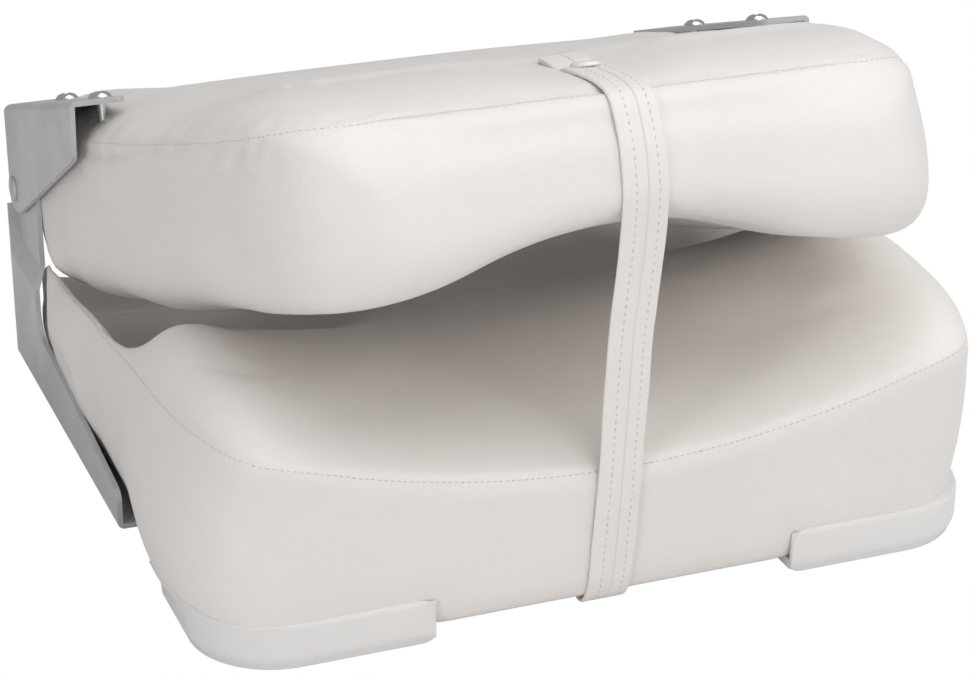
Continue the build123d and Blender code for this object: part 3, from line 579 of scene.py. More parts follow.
def buildPad(pad):
    surface = meshSkin(nodes[pad["node"]].data)[1]
    columns = padColumns(pad, surface)
    mesh = bmesh.new()
    rows = castRows(mesh, pad, surface, columns)

    def addGrid(rim, height):
        offsets = [vert.co - pad["origin"] for vert in rim]
        flat = [Vector((offset.x, offset.dot(pad["along"]))) for offset in offsets]
        return [[mesh.verts.new(spot) for spot in row] for row in fillGrid(flat, *pad["columns"], height)]

    def skinAt(place, side):
        return surface.ray_cast(padSpot(pad, place.x, place.y, side * rayReach), pad["up"] * -side)[0]

    topVerts = addGrid(rows[0], lambda place: skinAt(place, 1))
    held = []
    if pad["footLevel"] is None:
        lowVerts = addGrid(rows[-1], lambda place: skinAt(place, -1))
    else:
        edge, wall, roof = hollowFoot(mesh, pad, surface, columns, rows[-1])
        rows += [edge, wall, roof]
        roofLevel = pad["footLevel"] + pad["recessHeight"]
        lowVerts = addGrid(roof, lambda place: padSpot(pad, place.x, place.y, roofLevel))
        held = wall + roof + edge + [vert for row in lowVerts for vert in row]
    fillBetween(mesh, rows)
    gridFaces(mesh, rows[0], topVerts, *pad["columns"])
    gridFaces(mesh, rows[-1], lowVerts, *pad["columns"])
    bmesh.ops.recalc_face_normals(mesh, faces=mesh.faces)
    relaxPad(mesh, pad, rows, set(held))
    mesh.verts.index_update()
    seam = [vert.index for vert in rows[pad["topRows"]]]
    marks = {
        "seam": seam,
        "rows": [[vert.index for vert in row] for row in rows],
        "held": [vert.index for vert in held] + seam,
    }
    piece = addPiece(pad["name"], mesh, [vinyl])
    print("stage:", pad["name"], "skin of", len(piece.data.vertices), "points")
    return piece, marks


def puffPad(piece, marks, puff):
    # Foam pressing the cover out: cloth with pressure, held at the seam and round the base
    rest = [vertex.co.copy() for vertex in piece.data.vertices]
    group = piece.vertex_groups.new(name="held")
    group.add(marks["held"], 1.0, "REPLACE")
    modifier = piece.modifiers.new("puff", "CLOTH")
    cover = modifier.settings
    cover.quality = 5
    cover.mass = puff["mass"]
    cover.tension_stiffness = puff["stiffness"]
    cover.compression_stiffness = puff["stiffness"]
    cover.shear_stiffness = puff["stiffness"] / 3
    cover.bending_stiffness = puff["bending"]
    cover.use_pressure = True
    cover.uniform_pressure_force = puff["pressure"]
    cover.effector_weights.gravity = 0
    cover.vertex_group_mass = "held"
    modifier.collision_settings.use_collision = False
    scene = bpy.context.scene
    for step in range(1, puff["frames"] + 1):
        scene.frame_set(step)
    seen = piece.evaluated_get(bpy.context.evaluated_depsgraph_get())
    moved = [vertex.co.copy() for vertex in seen.data.vertices]
    piece.modifiers.remove(modifier)
    piece.vertex_groups.remove(group)
    scene.frame_set(1)
    largest = 0.0
    for vertex, before, after in zip(piece.data.vertices, rest, moved):
        shift = after - before
        largest = max(largest, shift.length)
        if shift.length > puff["cap"]:
            shift *= puff["cap"] / shift.length
        vertex.co = before + shift
    print("stage:", piece.name, "puffed, largest shift", round(largest * 1000, 1), "mm")


def sewPad(piece, marks, sewing):
    # Draws the seam in, with small puckers running away from it
    data = piece.data
    data.update()
    normals = [vertex.normal.copy() for vertex in data.vertices]
    rows = marks["rows"]
    seamIndex = rows.index(marks["seam"])
    touched = rows[max(0, seamIndex - sewing["rowsTouched"]):seamIndex + sewing["rowsTouched"] + 1]
    scale = sewing["puckerScale"]
    for column, seamVertex in enumerate(marks["seam"]):
        seamPlace = data.vertices[seamVertex].co.copy()
        where = Vector((seamPlace.x * scale, seamPlace.y * scale, seamPlace.z * scale + sewing["seed"]))
        local = 1.0
        for spot, radius, gain in sewing["wrinkled"]:
            near = (seamPlace - Vector(spot)).length / radius
            if near < 1:
                local += gain * (1 - near * near)
        for row in touched:
            vertex = data.vertices[row[column]]
            away = (vertex.co - seamPlace).length
            valley = -sewing["valley"] * math.exp(-(away / sewing["valleyWidth"]) ** 2)
            swell = sewing["swell"] * math.exp(-((away - sewing["swellAway"]) / sewing["swellWidth"]) ** 2)
            pucker = noise.noise(where) * sewing["pucker"]
            pucker *= local * math.exp(-away / sewing["puckerReach"]) * min(1.0, away / sewing["puckerStart"])
            vertex.co += normals[row[column]] * (valley + swell + pucker)
    data.update()


def finishPad(piece, body, node):
    addSmoother(piece)
    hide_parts(node)
    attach(piece, body)


# The seat's top sinks behind its raised side edges, where the folded backrest comes down
rearSink = {
    -1: {"depth": 0.029, "startY": -0.088, "fullY": -0.040, "innerX": (0.060, 0.125), "slant": 0.28},
    1: {"depth": 0.012, "startY": 0.000, "fullY": 0.060, "innerX": (0.110, 0.165), "slant": 0.0},
    "slantFrom": 0.215, "edgeReach": 0.014,
}
# The middle of its front edge sags a little at the foot, under the strap
frontSag = {
    "depth": 0.0032, "halfWidth": 0.11, "frontY": -0.17, "belowZ": 0.030, "easeZ": 0.020, "easeX": 0.02,
}


def sinkSeatRear(soft, rows, seamRow):
    seam = [vert.co.copy() for vert in rows[seamRow]]
    topVerts = set(soft)
    for row in rows[seamRow:]:
        topVerts -= set(row)
    for vert in topVerts:
        side = rearSink[1 if vert.co.x > 0 else -1]
        slant = side["slant"] * (rearSink["slantFrom"] - abs(vert.co.x))
        along = easeStep(vert.co.y, side["startY"] + slant, side["fullY"] + slant)
        if along == 0:
            continue
        across = easeStep(abs(vert.co.x), *side["innerX"])
        nearest = min((vert.co.xy - spot.xy).length for spot in seam)
        edge = easeStep(nearest, 0.0, rearSink["edgeReach"])
        vert.co.z -= side["depth"] * along * across * edge
    for vert in soft:
        if abs(vert.co.x) < frontSag["halfWidth"] and vert.co.y < frontSag["frontY"]:
            low = easeStep(frontSag["belowZ"] - vert.co.z, 0.0, frontSag["easeZ"])
            inside = easeStep(frontSag["halfWidth"] - abs(vert.co.x), 0.0, frontSag["easeX"])
            vert.co.z -= frontSag["depth"] * low * inside


# The strap's snap draws the backrest's skin in a little
snapPlace = {"along": 0.369, "dimpleShift": 0.012, "dimpleReach": 0.065, "dimpleDepth": 0.0050}


def dimpleBack(soft, rows, seamRow):
    middle = backOrigin + backAlong * (snapPlace["along"] - snapPlace["dimpleShift"])
    for vert in soft:
        away = (vert.co - middle).length / snapPlace["dimpleReach"]
        if away < 1:
            vert.co -= backOut * snapPlace["dimpleDepth"] * (1 - away * away) ** 2


# The folded back slopes down towards its hinge
tilt = math.radians(18)
backAlong = Vector((0, -math.cos(tilt), math.sin(tilt)))
backOut = Vector((0, math.sin(tilt), math.cos(tilt)))
hinge = {"pivot": Vector((0, 0.194, 0.121)), "padAlong": 0.0094, "padOut": 0.050}
backOrigin = hinge["pivot"] + backAlong * hinge["padAlong"] + backOut * hinge["padOut"]

seatPad = {
    "name": "seatPad", "node": "seat_cushion",
    "origin": Vector((0, 0, 0)), "along": Vector((0, 1, 0)), "up": Vector((0, 0, 1)),
    "skeletonHalf": (0.172, 0.150), "skeletonMiddle": -0.010, "skeletonRadius": 0.020,
    "cornerSteps": 9, "columns": (88, 76), "ownLevel": None, "footLevel": 0.009,
    "seamLevels": [
        (-0.205, 0.1190), (-0.192, 0.1215), (-0.173, 0.1225), (-0.135, 0.1210), (-0.109, 0.1197),
        (-0.085, 0.1180), (-0.055, 0.1155), (-0.028, 0.1116), (0.000, 0.1086), (0.026, 0.1052),
        (0.053, 0.1024), (0.080, 0.0999), (0.107, 0.0981), (0.122, 0.0967), (0.138, 0.0928),
        (0.150, 0.0878), (0.168, 0.0800), (0.1776, 0.0772), (0.185, 0.0650),
    ],
    "frontSeam": [
        (0.0, 0.0864), (0.020, 0.0866), (0.035, 0.0876), (0.050, 0.0889), (0.065, 0.0904), (0.080, 0.0930),
        (0.095, 0.0955), (0.110, 0.0984), (0.125, 0.1020), (0.140, 0.1061), (0.155, 0.1107), (0.172, 0.1163),
        (0.190, 0.1202), (0.205, 0.1225),
    ],
    "rearSeam": [
        (0.0, 0.0578), (0.060, 0.0582), (0.095, 0.0588), (0.113, 0.0597), (0.139, 0.0607), (0.163, 0.0617),
        (0.182, 0.0645), (0.189, 0.0670), (0.200, 0.0776), (0.206, 0.0870),
    ],
    "edgeBend": 0.06,
    "topRows": 9, "sideRows": 17, "recessGap": 0.0005, "recessHeight": 0.0216,
    "smoothing": 3, "shrink": 0.0005, "reshape": sinkSeatRear,
    "limits": [
        (-0.040, 0.0, 0.042, 0.2152), (0.066, 0.0, 0.052, 0.2152), (0.138, 0.0, 0.064, 0.2152),
        (0.145, 0.062, 0.2, 0.2092),
    ],
    "fuller": [
        ((-0.212, -0.135, 0.035), 0.105, (-0.011, -0.002, 0.0)),
        ((-0.212, 0.085, 0.045), 0.080, (-0.007, 0.0, 0.0)),
        ((-0.200, 0.160, 0.070), 0.055, (-0.007, 0.002, 0.0)),
        ((0.208, 0.095, 0.080), 0.110, (0.004, 0.0, 0.0)),
        ((0.198, 0.000, 0.125), 0.090, (0.006, 0.0, 0.003)),
        ((-0.175, -0.090, 0.140), 0.075, (0.0, 0.0, -0.0015)),
    ],
}
backPad = {
    "name": "backrestPad", "node": "backrest_cushion",
    "origin": backOrigin, "along": backAlong, "up": backOut,
    "skeletonHalf": (0.150, 0.165), "skeletonMiddle": 0.212, "skeletonRadius": 0.020,
    "cornerSteps": 9, "columns": (78, 88), "ownLevel": -0.045, "footLevel": None,
    "seamLevels": [
        (0.0, -0.0110), (0.05, -0.0140), (0.14, -0.0193), (0.24, -0.0226), (0.33, -0.0232), (0.42, -0.0205),
    ],
    "frontSeam": [(0.0, -0.0110), (0.2, -0.0110)],
    "rearSeam": [(0.0, -0.0205), (0.2, -0.0205)],
    "edgeBend": None,
    "topRows": 9, "sideRows": 23,
    "smoothing": 3, "shrink": 0.0005, "reshape": dimpleBack,
    "limits": [(0.020, 0.0, 0.3, 0.2092)],
    "fuller": [
        ((-0.205, 0.110, 0.100), 0.095, (-0.004, 0.004, -0.011)),
        ((0.205, 0.110, 0.100), 0.095, (0.004, 0.004, -0.008)),
        ((-0.195, 0.160, 0.178), 0.070, (-0.014, 0.002, 0.0020)),
        ((-0.200, 0.105, 0.190), 0.070, (0.0, 0.0, 0.0065)),
        ((-0.206, 0.000, 0.217), 0.070, (-0.0022, 0.0, 0.0)),
        ((0.206, 0.000, 0.217), 0.070, (0.0022, 0.0, 0.0)),
        ((-0.192, 0.165, 0.118), 0.070, (-0.024, 0.0, 0.0)),
        ((0.195, 0.160, 0.178), 0.070, (0.014, 0.002, 0.002)),
        ((0.130, 0.060, 0.215), 0.140, (0.0, -0.001, -0.0030)),
        ((0.200, -0.170, 0.278), 0.060, (-0.004, 0.003, -0.005)),
        ((0.198, -0.190, 0.185), 0.085, (0.0045, -0.003, -0.004)),
        ((-0.165, -0.070, 0.135), 0.090, (0.0, 0.0, -0.003)),
        ((0.0, -0.020, 0.262), 0.240, (0.0, -0.0012, -0.0038)),
    ],
}
puffing = {"pressure": 4.0, "stiffness": 12.0, "bending": 0.6, "mass": 0.3, "frames": 20, "cap": 0.0016}
sewing = {
    "valleyWidth": 0.0016, "swell": 0.0005, "swellAway": 0.009, "swellWidth": 0.006,
    "puckerScale": 90, "puckerReach": 0.014, "puckerStart": 0.003, "rowsTouched": 6,
}
seatSewing = {**sewing, "valley": 0.0011, "pucker": 0.0006, "seed": 3.0, "wrinkled": []}
backSewing = {
    **sewing, "valley": 0.0007, "pucker": 0.0007, "seed": 8.0,
    "wrinkled": [((-0.205, -0.02, 0.21), 0.18, 1.6)],
}

seatPiece, seatMarks = buildPad(seatPad)
backPiece, backMarks = buildPad(backPad)
puffPad(seatPiece, seatMarks, puffing)
puffPad(backPiece, backMarks, puffing)
sewPad(seatPiece, seatMarks, seatSewing)
sewPad(backPiece, backMarks, backSewing)
finishPad(seatPiece, "seat", "seat_cushion")
finishPad(backPiece, "backrest", "backrest_cushion")
seatSpots, seatSkin = readSkin(seatPiece)
backSpots, backSkin = readSkin(backPiece)
print("stage: pads sewn")


# Stitches: small stretched beads along a line, one group for the pads and the strap
def buildStitchGroup():
    group, entry = newGroup(
        "stitch run", "GeometryNodeTree",
        [("Geometry", "Geometry", None), ("Spacing", "Float", 0.004), ("Length", "Float", 0.0028),
         ("Radius", "Float", 0.0003), ("Unevenness", "Float", 0.15), ("Seed", "Int", 1),
         ("Thread", "Material", None)],
        [("Geometry", "Geometry")],
    )
    line = addNode(group, "GeometryNodeMeshToCurve", {"Mesh": entry["Geometry"]})
    spread = addNode(group, "GeometryNodeCurveToPoints", {
        "Curve": line["Curve"], "Length": entry["Spacing"]}, mode="LENGTH")
    bead = addNode(group, "GeometryNodeMeshUVSphere", {"Segments": 8, "Rings": 6, "Radius": 1.0})
    low = addMath(group, "SUBTRACT", 1.0, entry["Unevenness"])
    high = addMath(group, "ADD", 1.0, entry["Unevenness"])
    jitter = addNode(group, "FunctionNodeRandomValue", {
        2: low, 3: high, "Seed": entry["Seed"]}, data_type="FLOAT")
    half = addMath(group, "MULTIPLY", entry["Length"], 0.5)
    long = addMath(group, "MULTIPLY", half, jitter[1])
    size = addNode(group, "ShaderNodeCombineXYZ", {"X": long, "Y": entry["Radius"], "Z": entry["Radius"]})
    turn = addNode(group, "FunctionNodeAlignRotationToVector", {"Vector": spread["Tangent"]}, axis="X")
    copies = addNode(group, "GeometryNodeInstanceOnPoints", {
        "Points": spread["Points"], "Instance": bead["Mesh"], "Rotation": turn["Rotation"],
        "Scale": size["Vector"]})
    solid = addNode(group, "GeometryNodeRealizeInstances", {"Geometry": copies["Instances"]})
    rounded = addNode(group, "GeometryNodeSetShadeSmooth", {"Geometry": solid["Geometry"]})
    dressed = addNode(group, "GeometryNodeSetMaterial", {
        "Geometry": rounded["Geometry"], "Material": entry["Thread"]})
    addNode(group, "NodeGroupOutput", {"Geometry": dressed["Geometry"]})
    return group


stitchGroup = buildStitchGroup()
padRun = {"Spacing": 0.0034, "Length": 0.0023, "Radius": 0.00028, "Unevenness": 0.2, "Thread": thread}
strapRun = {
    "Spacing": 0.0042, "Length": 0.0022, "Radius": 0.00036, "Unevenness": 0.25, "Seed": 6, "Thread": thread,
}
padStitchPlace = {"offset": 0.0016, "lift": 0.00002, "leastStep": 0.0001}


def sewLines(name, lines, closed, run):
    # Lines of places become one mesh of stitches
    mesh = bmesh.new()
    for line in lines:
        verts = [mesh.verts.new(spot) for spot in line]
        for first, second in zip(verts, verts[1:]):
            mesh.edges.new((first, second))
        if closed:
            mesh.edges.new((verts[-1], verts[0]))
    return freezePiece(name, addPiece(name + "Guide", mesh, []), stitchGroup, run)


def padStitchLine(piece, marks, surface):
    # A line just below the seam, laid on the skin
    rows = marks["rows"]
    line = []
    for index, other in zip(marks["seam"], rows[rows.index(marks["seam"]) + 1]):
        here = piece.data.vertices[index].co
        step = piece.data.vertices[other].co - here
        share = min(1.0, padStitchPlace["offset"] / max(step.length, padStitchPlace["leastStep"]))
        found, normal = surface.find_nearest(here + step * share)[:2]
        line.append(found + normal * padStitchPlace["lift"])
    return line


seatLine = padStitchLine(seatPiece, seatMarks, seatSkin)
backLine = padStitchLine(backPiece, backMarks, backSkin)
seatStitches = sewLines("seatStitches", [seatLine], True, {**padRun, "Seed": 4})
backStitches = sewLines("backrestStitches", [backLine], True, {**padRun, "Seed": 9})
for stitches, body in ((seatStitches, "seat"), (backStitches, "backrest")):
    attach(stitches, body)
print("stage: pads stitched")

# Strap: a doubled vinyl band drawn tight over both pads from its anchor to the snap
band = {
    "width": 0.0240, "thickness": 0.0020, "gap": 0.0004, "step": 0.0022, "easing": 6,
    "anchor": (-0.170, 0.0076), "underSeat": (-0.182, 0.0070), "noseLevel": 0.0032, "noseShift": 0.002,
    "hullReach": 0.016, "frontY": -0.15, "backLevel": -0.02, "leaveAlong": 0.398,
    "tipAlong": 0.332, "tipSteps": 14, "tipLift": 0.0012, "tipLiftStart": 0.45, "tipLiftGain": 3.3,
    "bottomShift": -0.0055, "topShift": 0.0028, "shiftTop": 0.270, "topShiftZ": (0.15, 0.22),
    "topShiftTip": (0.045, 0.085), "underTop": 0.02, "underBehind": -0.19, "underShare": 0.45,
    "groove": 0.10, "grooveWidth": 0.035, "grooveDepth": 0.0005, "hemDepth": 0.00088, "hemLength": 0.052,
    "hemEase": 0.006, "tipShare": 0.55, "waveScale": 35, "waveSeed": 2.0, "twistShare": 0.05,
    "widthShare": 0.012, "fineScale": (300, 120), "fineDepth": 0.00012,
    "stitchRows": (-0.42, 0.58), "stitchInset": 0.00005, "stitchFromTip": 0.046, "stitchAfter": 4,
}


def hullChain(points):
    # Upper hull by the front side: points sorted by height, kept where they bulge forward
    chain = []
    for y, z in sorted(set(points), key=lambda point: (point[1], point[0])):
        while len(chain) >= 2:
            (y1, z1), (y2, z2) = chain[-2], chain[-1]
            if (y2 - y1) * (z - z1) - (z2 - z1) * (y - y1) < 0:
                break
            chain.pop()
        chain.append((y, z))
    return chain


def strapPath():
    # The band's middle line as y and z, from under the seat, over the front and onto the back
    near = [spot for spot in seatSpots + backSpots if abs(spot.x) < band["hullReach"]]
    profile = [(round(spot.y, 5), round(spot.z, 5)) for spot in near]
    top = max(profile, key=lambda point: point[1])
    chain = hullChain([point for point in profile if point[0] < band["frontY"] or point[0] < top[0]])
    lift = band["thickness"] / 2 + band["gap"]
    nose = Vector((chain[0][0] + band["noseShift"], band["noseLevel"]))
    path = [Vector(band["anchor"]), Vector(band["underSeat"]), nose]
    for index in range(1, len(chain)):
        before = chain[index - 1]
        after = chain[min(len(chain) - 1, index + 1)]
        run = Vector((after[0] - before[0], after[1] - before[1])).normalized()
        point = Vector(chain[index]) + Vector((-run.y, run.x)) * lift
        offset = Vector((0, point.x, point.y)) - backOrigin
        if offset.dot(backOut) > band["backLevel"] and offset.dot(backAlong) < band["leaveAlong"]:
            break
        path.append(point)
    for step in range(1, band["tipSteps"] + 1):
        share = step / band["tipSteps"]
        along = band["leaveAlong"] + (band["tipAlong"] - band["leaveAlong"]) * share
        found = backSkin.ray_cast(backOrigin + backAlong * along + backOut * rayReach, -backOut)[0]
        raised = band["tipLift"] * max(0.0, share - band["tipLiftStart"]) ** 2 * band["tipLiftGain"]
        spot = found + backOut * (lift + raised)
        path.append(Vector((spot.y, spot.z)))
    return path


def evenPath(path, step):
    lengths = [0.0]
    for first, second in zip(path, path[1:]):
        lengths.append(lengths[-1] + (second - first).length)
    count = int(lengths[-1] / step)
    even = []
    segment = 0
    for index in range(count + 1):
        want = lengths[-1] * index / count
        while segment < len(path) - 2 and lengths[segment + 1] < want:
            segment += 1
        span = max(lengths[segment + 1] - lengths[segment], 1e-9)
        even.append(path[segment].lerp(path[segment + 1], (want - lengths[segment]) / span))
    for _ in range(band["easing"]):
        inner = [(a + b * 2 + c) / 4 for a, b, c in zip(even, even[1:], even[2:])]
        even = [even[0]] + inner + [even[-1]]
    return even


def pathFrame(path, index, reach):
    # Direction of travel and outward side of the band's line at one of its points
    before = path[max(0, index - reach)]
    after = path[min(len(path) - 1, index + reach)]
    run = (after - before).normalized()
    return run, Vector((-run.y, run.x))


def bandSection(widthHalf, thick, hem):
    # One cross-section, round the band: across and level
    groove, grooveHalf, depth = band["groove"], band["grooveWidth"], band["grooveDepth"]
    top = [
        (-1.0, 0.0), (-0.985, 0.55), (-0.94, 0.92), (-0.88, 1.0), (-0.70, 1.0), (-0.45, 0.99), (-0.20, 1.0),
        (groove - grooveHalf * 2, 1.0), (groove - grooveHalf, 0.9), (groove, None),
        (groove + grooveHalf * 0.4, 0.7), (groove + grooveHalf, 1.12), (groove + grooveHalf * 3, 1.1),
        (0.40, 1.03), (0.60, 1.0), (0.80, 1.0), (0.88, 1.0), (0.94, 0.92), (0.985, 0.55), (1.0, 0.0),
    ]
    bottom = [(0.985, 0.55), (0.92, 1.0), (0.5, 1.0), (0.0, 1.0), (-0.5, 1.0), (-0.92, 1.0), (-0.985, 0.55)]
    ring = []
    for across, level in top:
        lift = thick / 2 - depth if level is None else level * thick / 2
        ring.append((across * widthHalf, lift))
    return ring + [(across * widthHalf, -level * thick / 2 - hem) for across, level in bottom]


def bandShift(spot, fromTip):
    # The band leans a little to one side on its way up
    shift = band["bottomShift"] * max(0.0, 1 - max(spot.y, 0.0) / band["shiftTop"])
    if spot.y < band["underTop"] and spot.x > band["underBehind"]:
        shift *= band["underShare"]
    shift += band["topShift"] * easeStep(spot.y, *band["topShiftZ"]) * easeStep(fromTip, *band["topShiftTip"])
    return shift


def buildStrap():
    path = evenPath(strapPath(), band["step"])
    mesh = bmesh.new()
    rings = []
    rows = [[] for _ in band["stitchRows"]]
    tipReach = band["width"] / 2 * band["tipShare"]
    fineAcross, fineAlong = band["fineScale"]
    for index, spot in enumerate(path):
        side = pathFrame(path, index, 1)[1]
        fromTip = sum((b - a).length for a, b in zip(path[index:], path[index + 1:]))
        rounding = 1.0
        if fromTip < tipReach:
            bow = math.sqrt(1 - (1 - fromTip / tipReach) ** 2)
            rounding = band["tipShare"] + (1 - band["tipShare"]) * bow
        shift = bandShift(spot, fromTip)
        wave = noise.noise(Vector((spot.x * band["waveScale"], spot.y * band["waveScale"], band["waveSeed"])))
        twist = wave * band["twistShare"]
        hem = band["hemDepth"] * easeStep(band["hemLength"] - fromTip, 0.0, band["hemEase"])
        wide = band["width"] / 2 * rounding * (1 + band["widthShare"] * wave)
        ring = []
        for across, level in bandSection(wide, band["thickness"], hem):
            fine = noise.noise(Vector((across * fineAcross, spot.x * fineAlong, spot.y * fineAlong)))
            lift = level + across * twist + band["fineDepth"] * fine
            ring.append(mesh.verts.new((shift + across, spot.x + side.x * lift, spot.y + side.y * lift)))
        rings.append(ring)
        if fromTip > band["stitchFromTip"] and index > band["stitchAfter"]:
            for row, share in zip(rows, band["stitchRows"]):
                across = share * band["width"] / 2
                lift = band["thickness"] / 2 + across * twist - band["stitchInset"]
                row.append(Vector((shift + across, spot.x + side.x * lift, spot.y + side.y * lift)))
    fillBetween(mesh, rings)
    mesh.faces.new(rings[0])
    mesh.faces.new(list(reversed(rings[-1])))
    bmesh.ops.recalc_face_normals(mesh, faces=mesh.faces)
    return mesh, rows, path


strapMesh, strapRows, strapLine = buildStrap()
bandFaces = len(strapMesh.faces)
strapStitches = sewLines("strapStitches", strapRows, False, strapRun)
strapMesh.from_mesh(strapStitches.data)
strapMesh.faces.ensure_lookup_table()
for face in strapMesh.faces[bandFaces:]:
    face.material_index = 1
bpy.data.objects.remove(strapStitches)
strapPiece = addPiece("strapBand", strapMesh, [vinyl, thread])
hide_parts("strap")
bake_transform(strapPiece)


# Snap: a cap and a stud turned on the strap's own slope, from profiles of radius and height
def turnedMesh(profile, steps, place):
    mesh = bmesh.new()
    rings = []
    for radius, level in profile[1:-1]:
        ring = []
        for step in range(steps):
            angle = 2 * math.pi * step / steps
            flat = (xAim * math.cos(angle) + snapRun * math.sin(angle)) * radius
            ring.append(mesh.verts.new(place + flat + snapUp * level))
        rings.append(ring)
    fillBetween(mesh, rings)
    for end in (0, -1):
        fillFan(mesh, mesh.verts.new(place + snapUp * profile[end][1]), rings[end])
    bmesh.ops.recalc_face_normals(mesh, faces=mesh.faces)
    return mesh


cap = {
    "profile": [
        (0.0, 0.0010), (0.0030, 0.0010), (0.0036, 0.0012), (0.0042, 0.0019), (0.0050, 0.0022),
        (0.0062, 0.0021), (0.0072, 0.0016), (0.0078, 0.0009), (0.0080, 0.0002), (0.0079, -0.0004),
        (0.0, -0.0004),
    ],
    "steps": 56, "lift": band["thickness"] / 2,
}
stud = {
    "profile": [
        (0.0, 0.0014), (0.0017, 0.0014), (0.0024, 0.0010), (0.0026, 0.0004), (0.0023, -0.0002),
        (0.0023, -0.0010), (0.0040, -0.0012), (0.0056, -0.0014), (0.0064, -0.0019), (0.0065, -0.0026),
        (0.0062, -0.0034), (0.0, -0.0034),
    ],
    "steps": 48, "lift": -0.0004,
}
snapTarget = (backOrigin + backAlong * snapPlace["along"]).yz
snapIndex = min(range(2, len(strapLine) - 2), key=lambda step: (strapLine[step] - snapTarget).length)
snapSpot = Vector((0, *strapLine[snapIndex]))
snapRun, snapUp = [Vector((0, *flat)) for flat in pathFrame(strapLine, snapIndex, 2)]
capMesh = turnedMesh(cap["profile"], cap["steps"], snapSpot + snapUp * cap["lift"])
capPiece = addPiece("strapSnap", capMesh, [enamel])
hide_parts("strap_snap_cap")
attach(capPiece, "strap")
studMesh = turnedMesh(stud["profile"], stud["steps"], snapSpot + snapUp * stud["lift"])
studPiece = addPiece("snapStud", studMesh, [steel])
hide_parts("snap_stud")
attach(studPiece, "backrest")
print("stage: strap and snap placed")

# Screws: one model per size, set in place by Geometry Nodes with a seeded turn.
# The look is in shares of each screw's own radii and head height
screwLook = {
    "steps": 64, "rings": 15, "dome": (2.6, 0.62), "underHead": 0.97, "root": 0.80, "tip": 0.4,
    "slotLong": 0.56, "slotEnd": 0.16, "slotWide": 0.13, "slotWall": (-0.03, 0.05), "slotDepth": 0.52,
}
screwSeat = -0.0002


def screwMesh(size):
    mesh = bmesh.new()
    headRadius, shankRadius = size["headRadius"], size["shankRadius"]
    steps, ringCount = screwLook["steps"], screwLook["rings"]
    flatness, roundness = screwLook["dome"]
    slotLong = headRadius * screwLook["slotLong"]
    slotEnd = headRadius * screwLook["slotEnd"]
    slotWide = headRadius * screwLook["slotWide"]
    slotWall = [headRadius * share for share in screwLook["slotWall"]]

    def headLevel(x, y):
        away = math.hypot(x, y) / headRadius
        level = size["headHeight"] * (1 - min(1.0, away) ** flatness) ** roundness
        cut = 0.0
        for a, b in ((x, y), (y, x)):
            cut = max(cut, easeStep(slotLong - abs(a), 0.0, slotEnd) * easeStep(slotWide - abs(b), *slotWall))
        return level - size["headHeight"] * screwLook["slotDepth"] * cut

    def addRing(radius, level=None):
        ring = []
        for step in range(steps):
            angle = 2 * math.pi * (step + 0.5) / steps
            x, y = radius * math.cos(angle), radius * math.sin(angle)
            ring.append(mesh.verts.new((x, y, max(headLevel(x, y), 0.0) if level is None else level)))
        return ring

    centre = mesh.verts.new((0, 0, headLevel(0, 0)))
    rings = []
    for step in range(1, ringCount + 1):
        rings.append(addRing(headRadius * math.sin(math.pi / 2 * step / ringCount)))
    rings.append(addRing(headRadius * screwLook["underHead"], screwSeat))
    rings.append(addRing(shankRadius, screwSeat))
    for turn in range(int(size["shankLength"] / size["pitch"])):
        level = screwSeat - size["pitch"] * (turn + 0.5)
        rings.append(addRing(shankRadius * screwLook["root"], level))
        level -= size["pitch"] * 0.5
        rings.append(addRing(shankRadius, level))
    rings.append(addRing(shankRadius * screwLook["tip"], level - shankRadius))
    fillFan(mesh, centre, rings[0])
    fillBetween(mesh, rings)
    mesh.faces.new(list(reversed(rings[-1])))
    bmesh.ops.recalc_face_normals(mesh, faces=mesh.faces)
    return mesh


def buildScrewGroup():
    group, entry = newGroup(
        "screws set in place", "GeometryNodeTree",
        [("Geometry", "Geometry", None), ("Screw", "Object", None), ("Facing", "Rotation", None),
         ("Seed", "Int", None), ("Steel", "Material", None)],
        [("Geometry", "Geometry")],
    )
    model = addNode(group, "GeometryNodeObjectInfo", {"Object": entry["Screw"]})
    copies = addNode(group, "GeometryNodeInstanceOnPoints", {
        "Points": entry["Geometry"], "Instance": model["Geometry"], "Rotation": entry["Facing"]})
    spin = addNode(group, "FunctionNodeRandomValue", {
        0: (0, 0, 0), 1: (0, 0, 2 * math.pi), "Seed": entry["Seed"]}, data_type="FLOAT_VECTOR")
    turned = addNode(group, "GeometryNodeRotateInstances", {
        "Instances": copies["Instances"], "Rotation": spin[0]})
    solid = addNode(group, "GeometryNodeRealizeInstances", {"Geometry": turned["Instances"]})
    dressed = addNode(group, "GeometryNodeSetMaterial", {
        "Geometry": solid["Geometry"], "Material": entry["Steel"]})
    addNode(group, "NodeGroupOutput", {"Geometry": dressed["Geometry"]})
    return group


screwGroup = buildScrewGroup()


def setScrews(name, body, size, places, facing, seed, replaced):
    model = addPiece(name + "Model", screwMesh(size), [steel])
    points = bmesh.new()
    for place in places:
        points.verts.new(place)
    guide = addPiece(name + "Places", points, [])
    values = {"Screw": model, "Facing": facing, "Seed": seed, "Steel": steel}
    piece = freezePiece(name, guide, screwGroup, values)
    bpy.data.objects.remove(model)
    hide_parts(*replaced)
    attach(piece, body)


def bothSides(across, alongs):
    # Places at the same distance left and right, for each place along
    return [(side, along) for side in (-across, across) for along in alongs]


def screwNames(stem, ends):
    return [stem + side + end for side in ("_left", "_right") for end in ends]


def screwSize(headRadius, headHeight, shankRadius, shankLength, pitch):
    return {
        "headRadius": headRadius, "headHeight": headHeight, "shankRadius": shankRadius,
        "shankLength": shankLength, "pitch": pitch,
    }


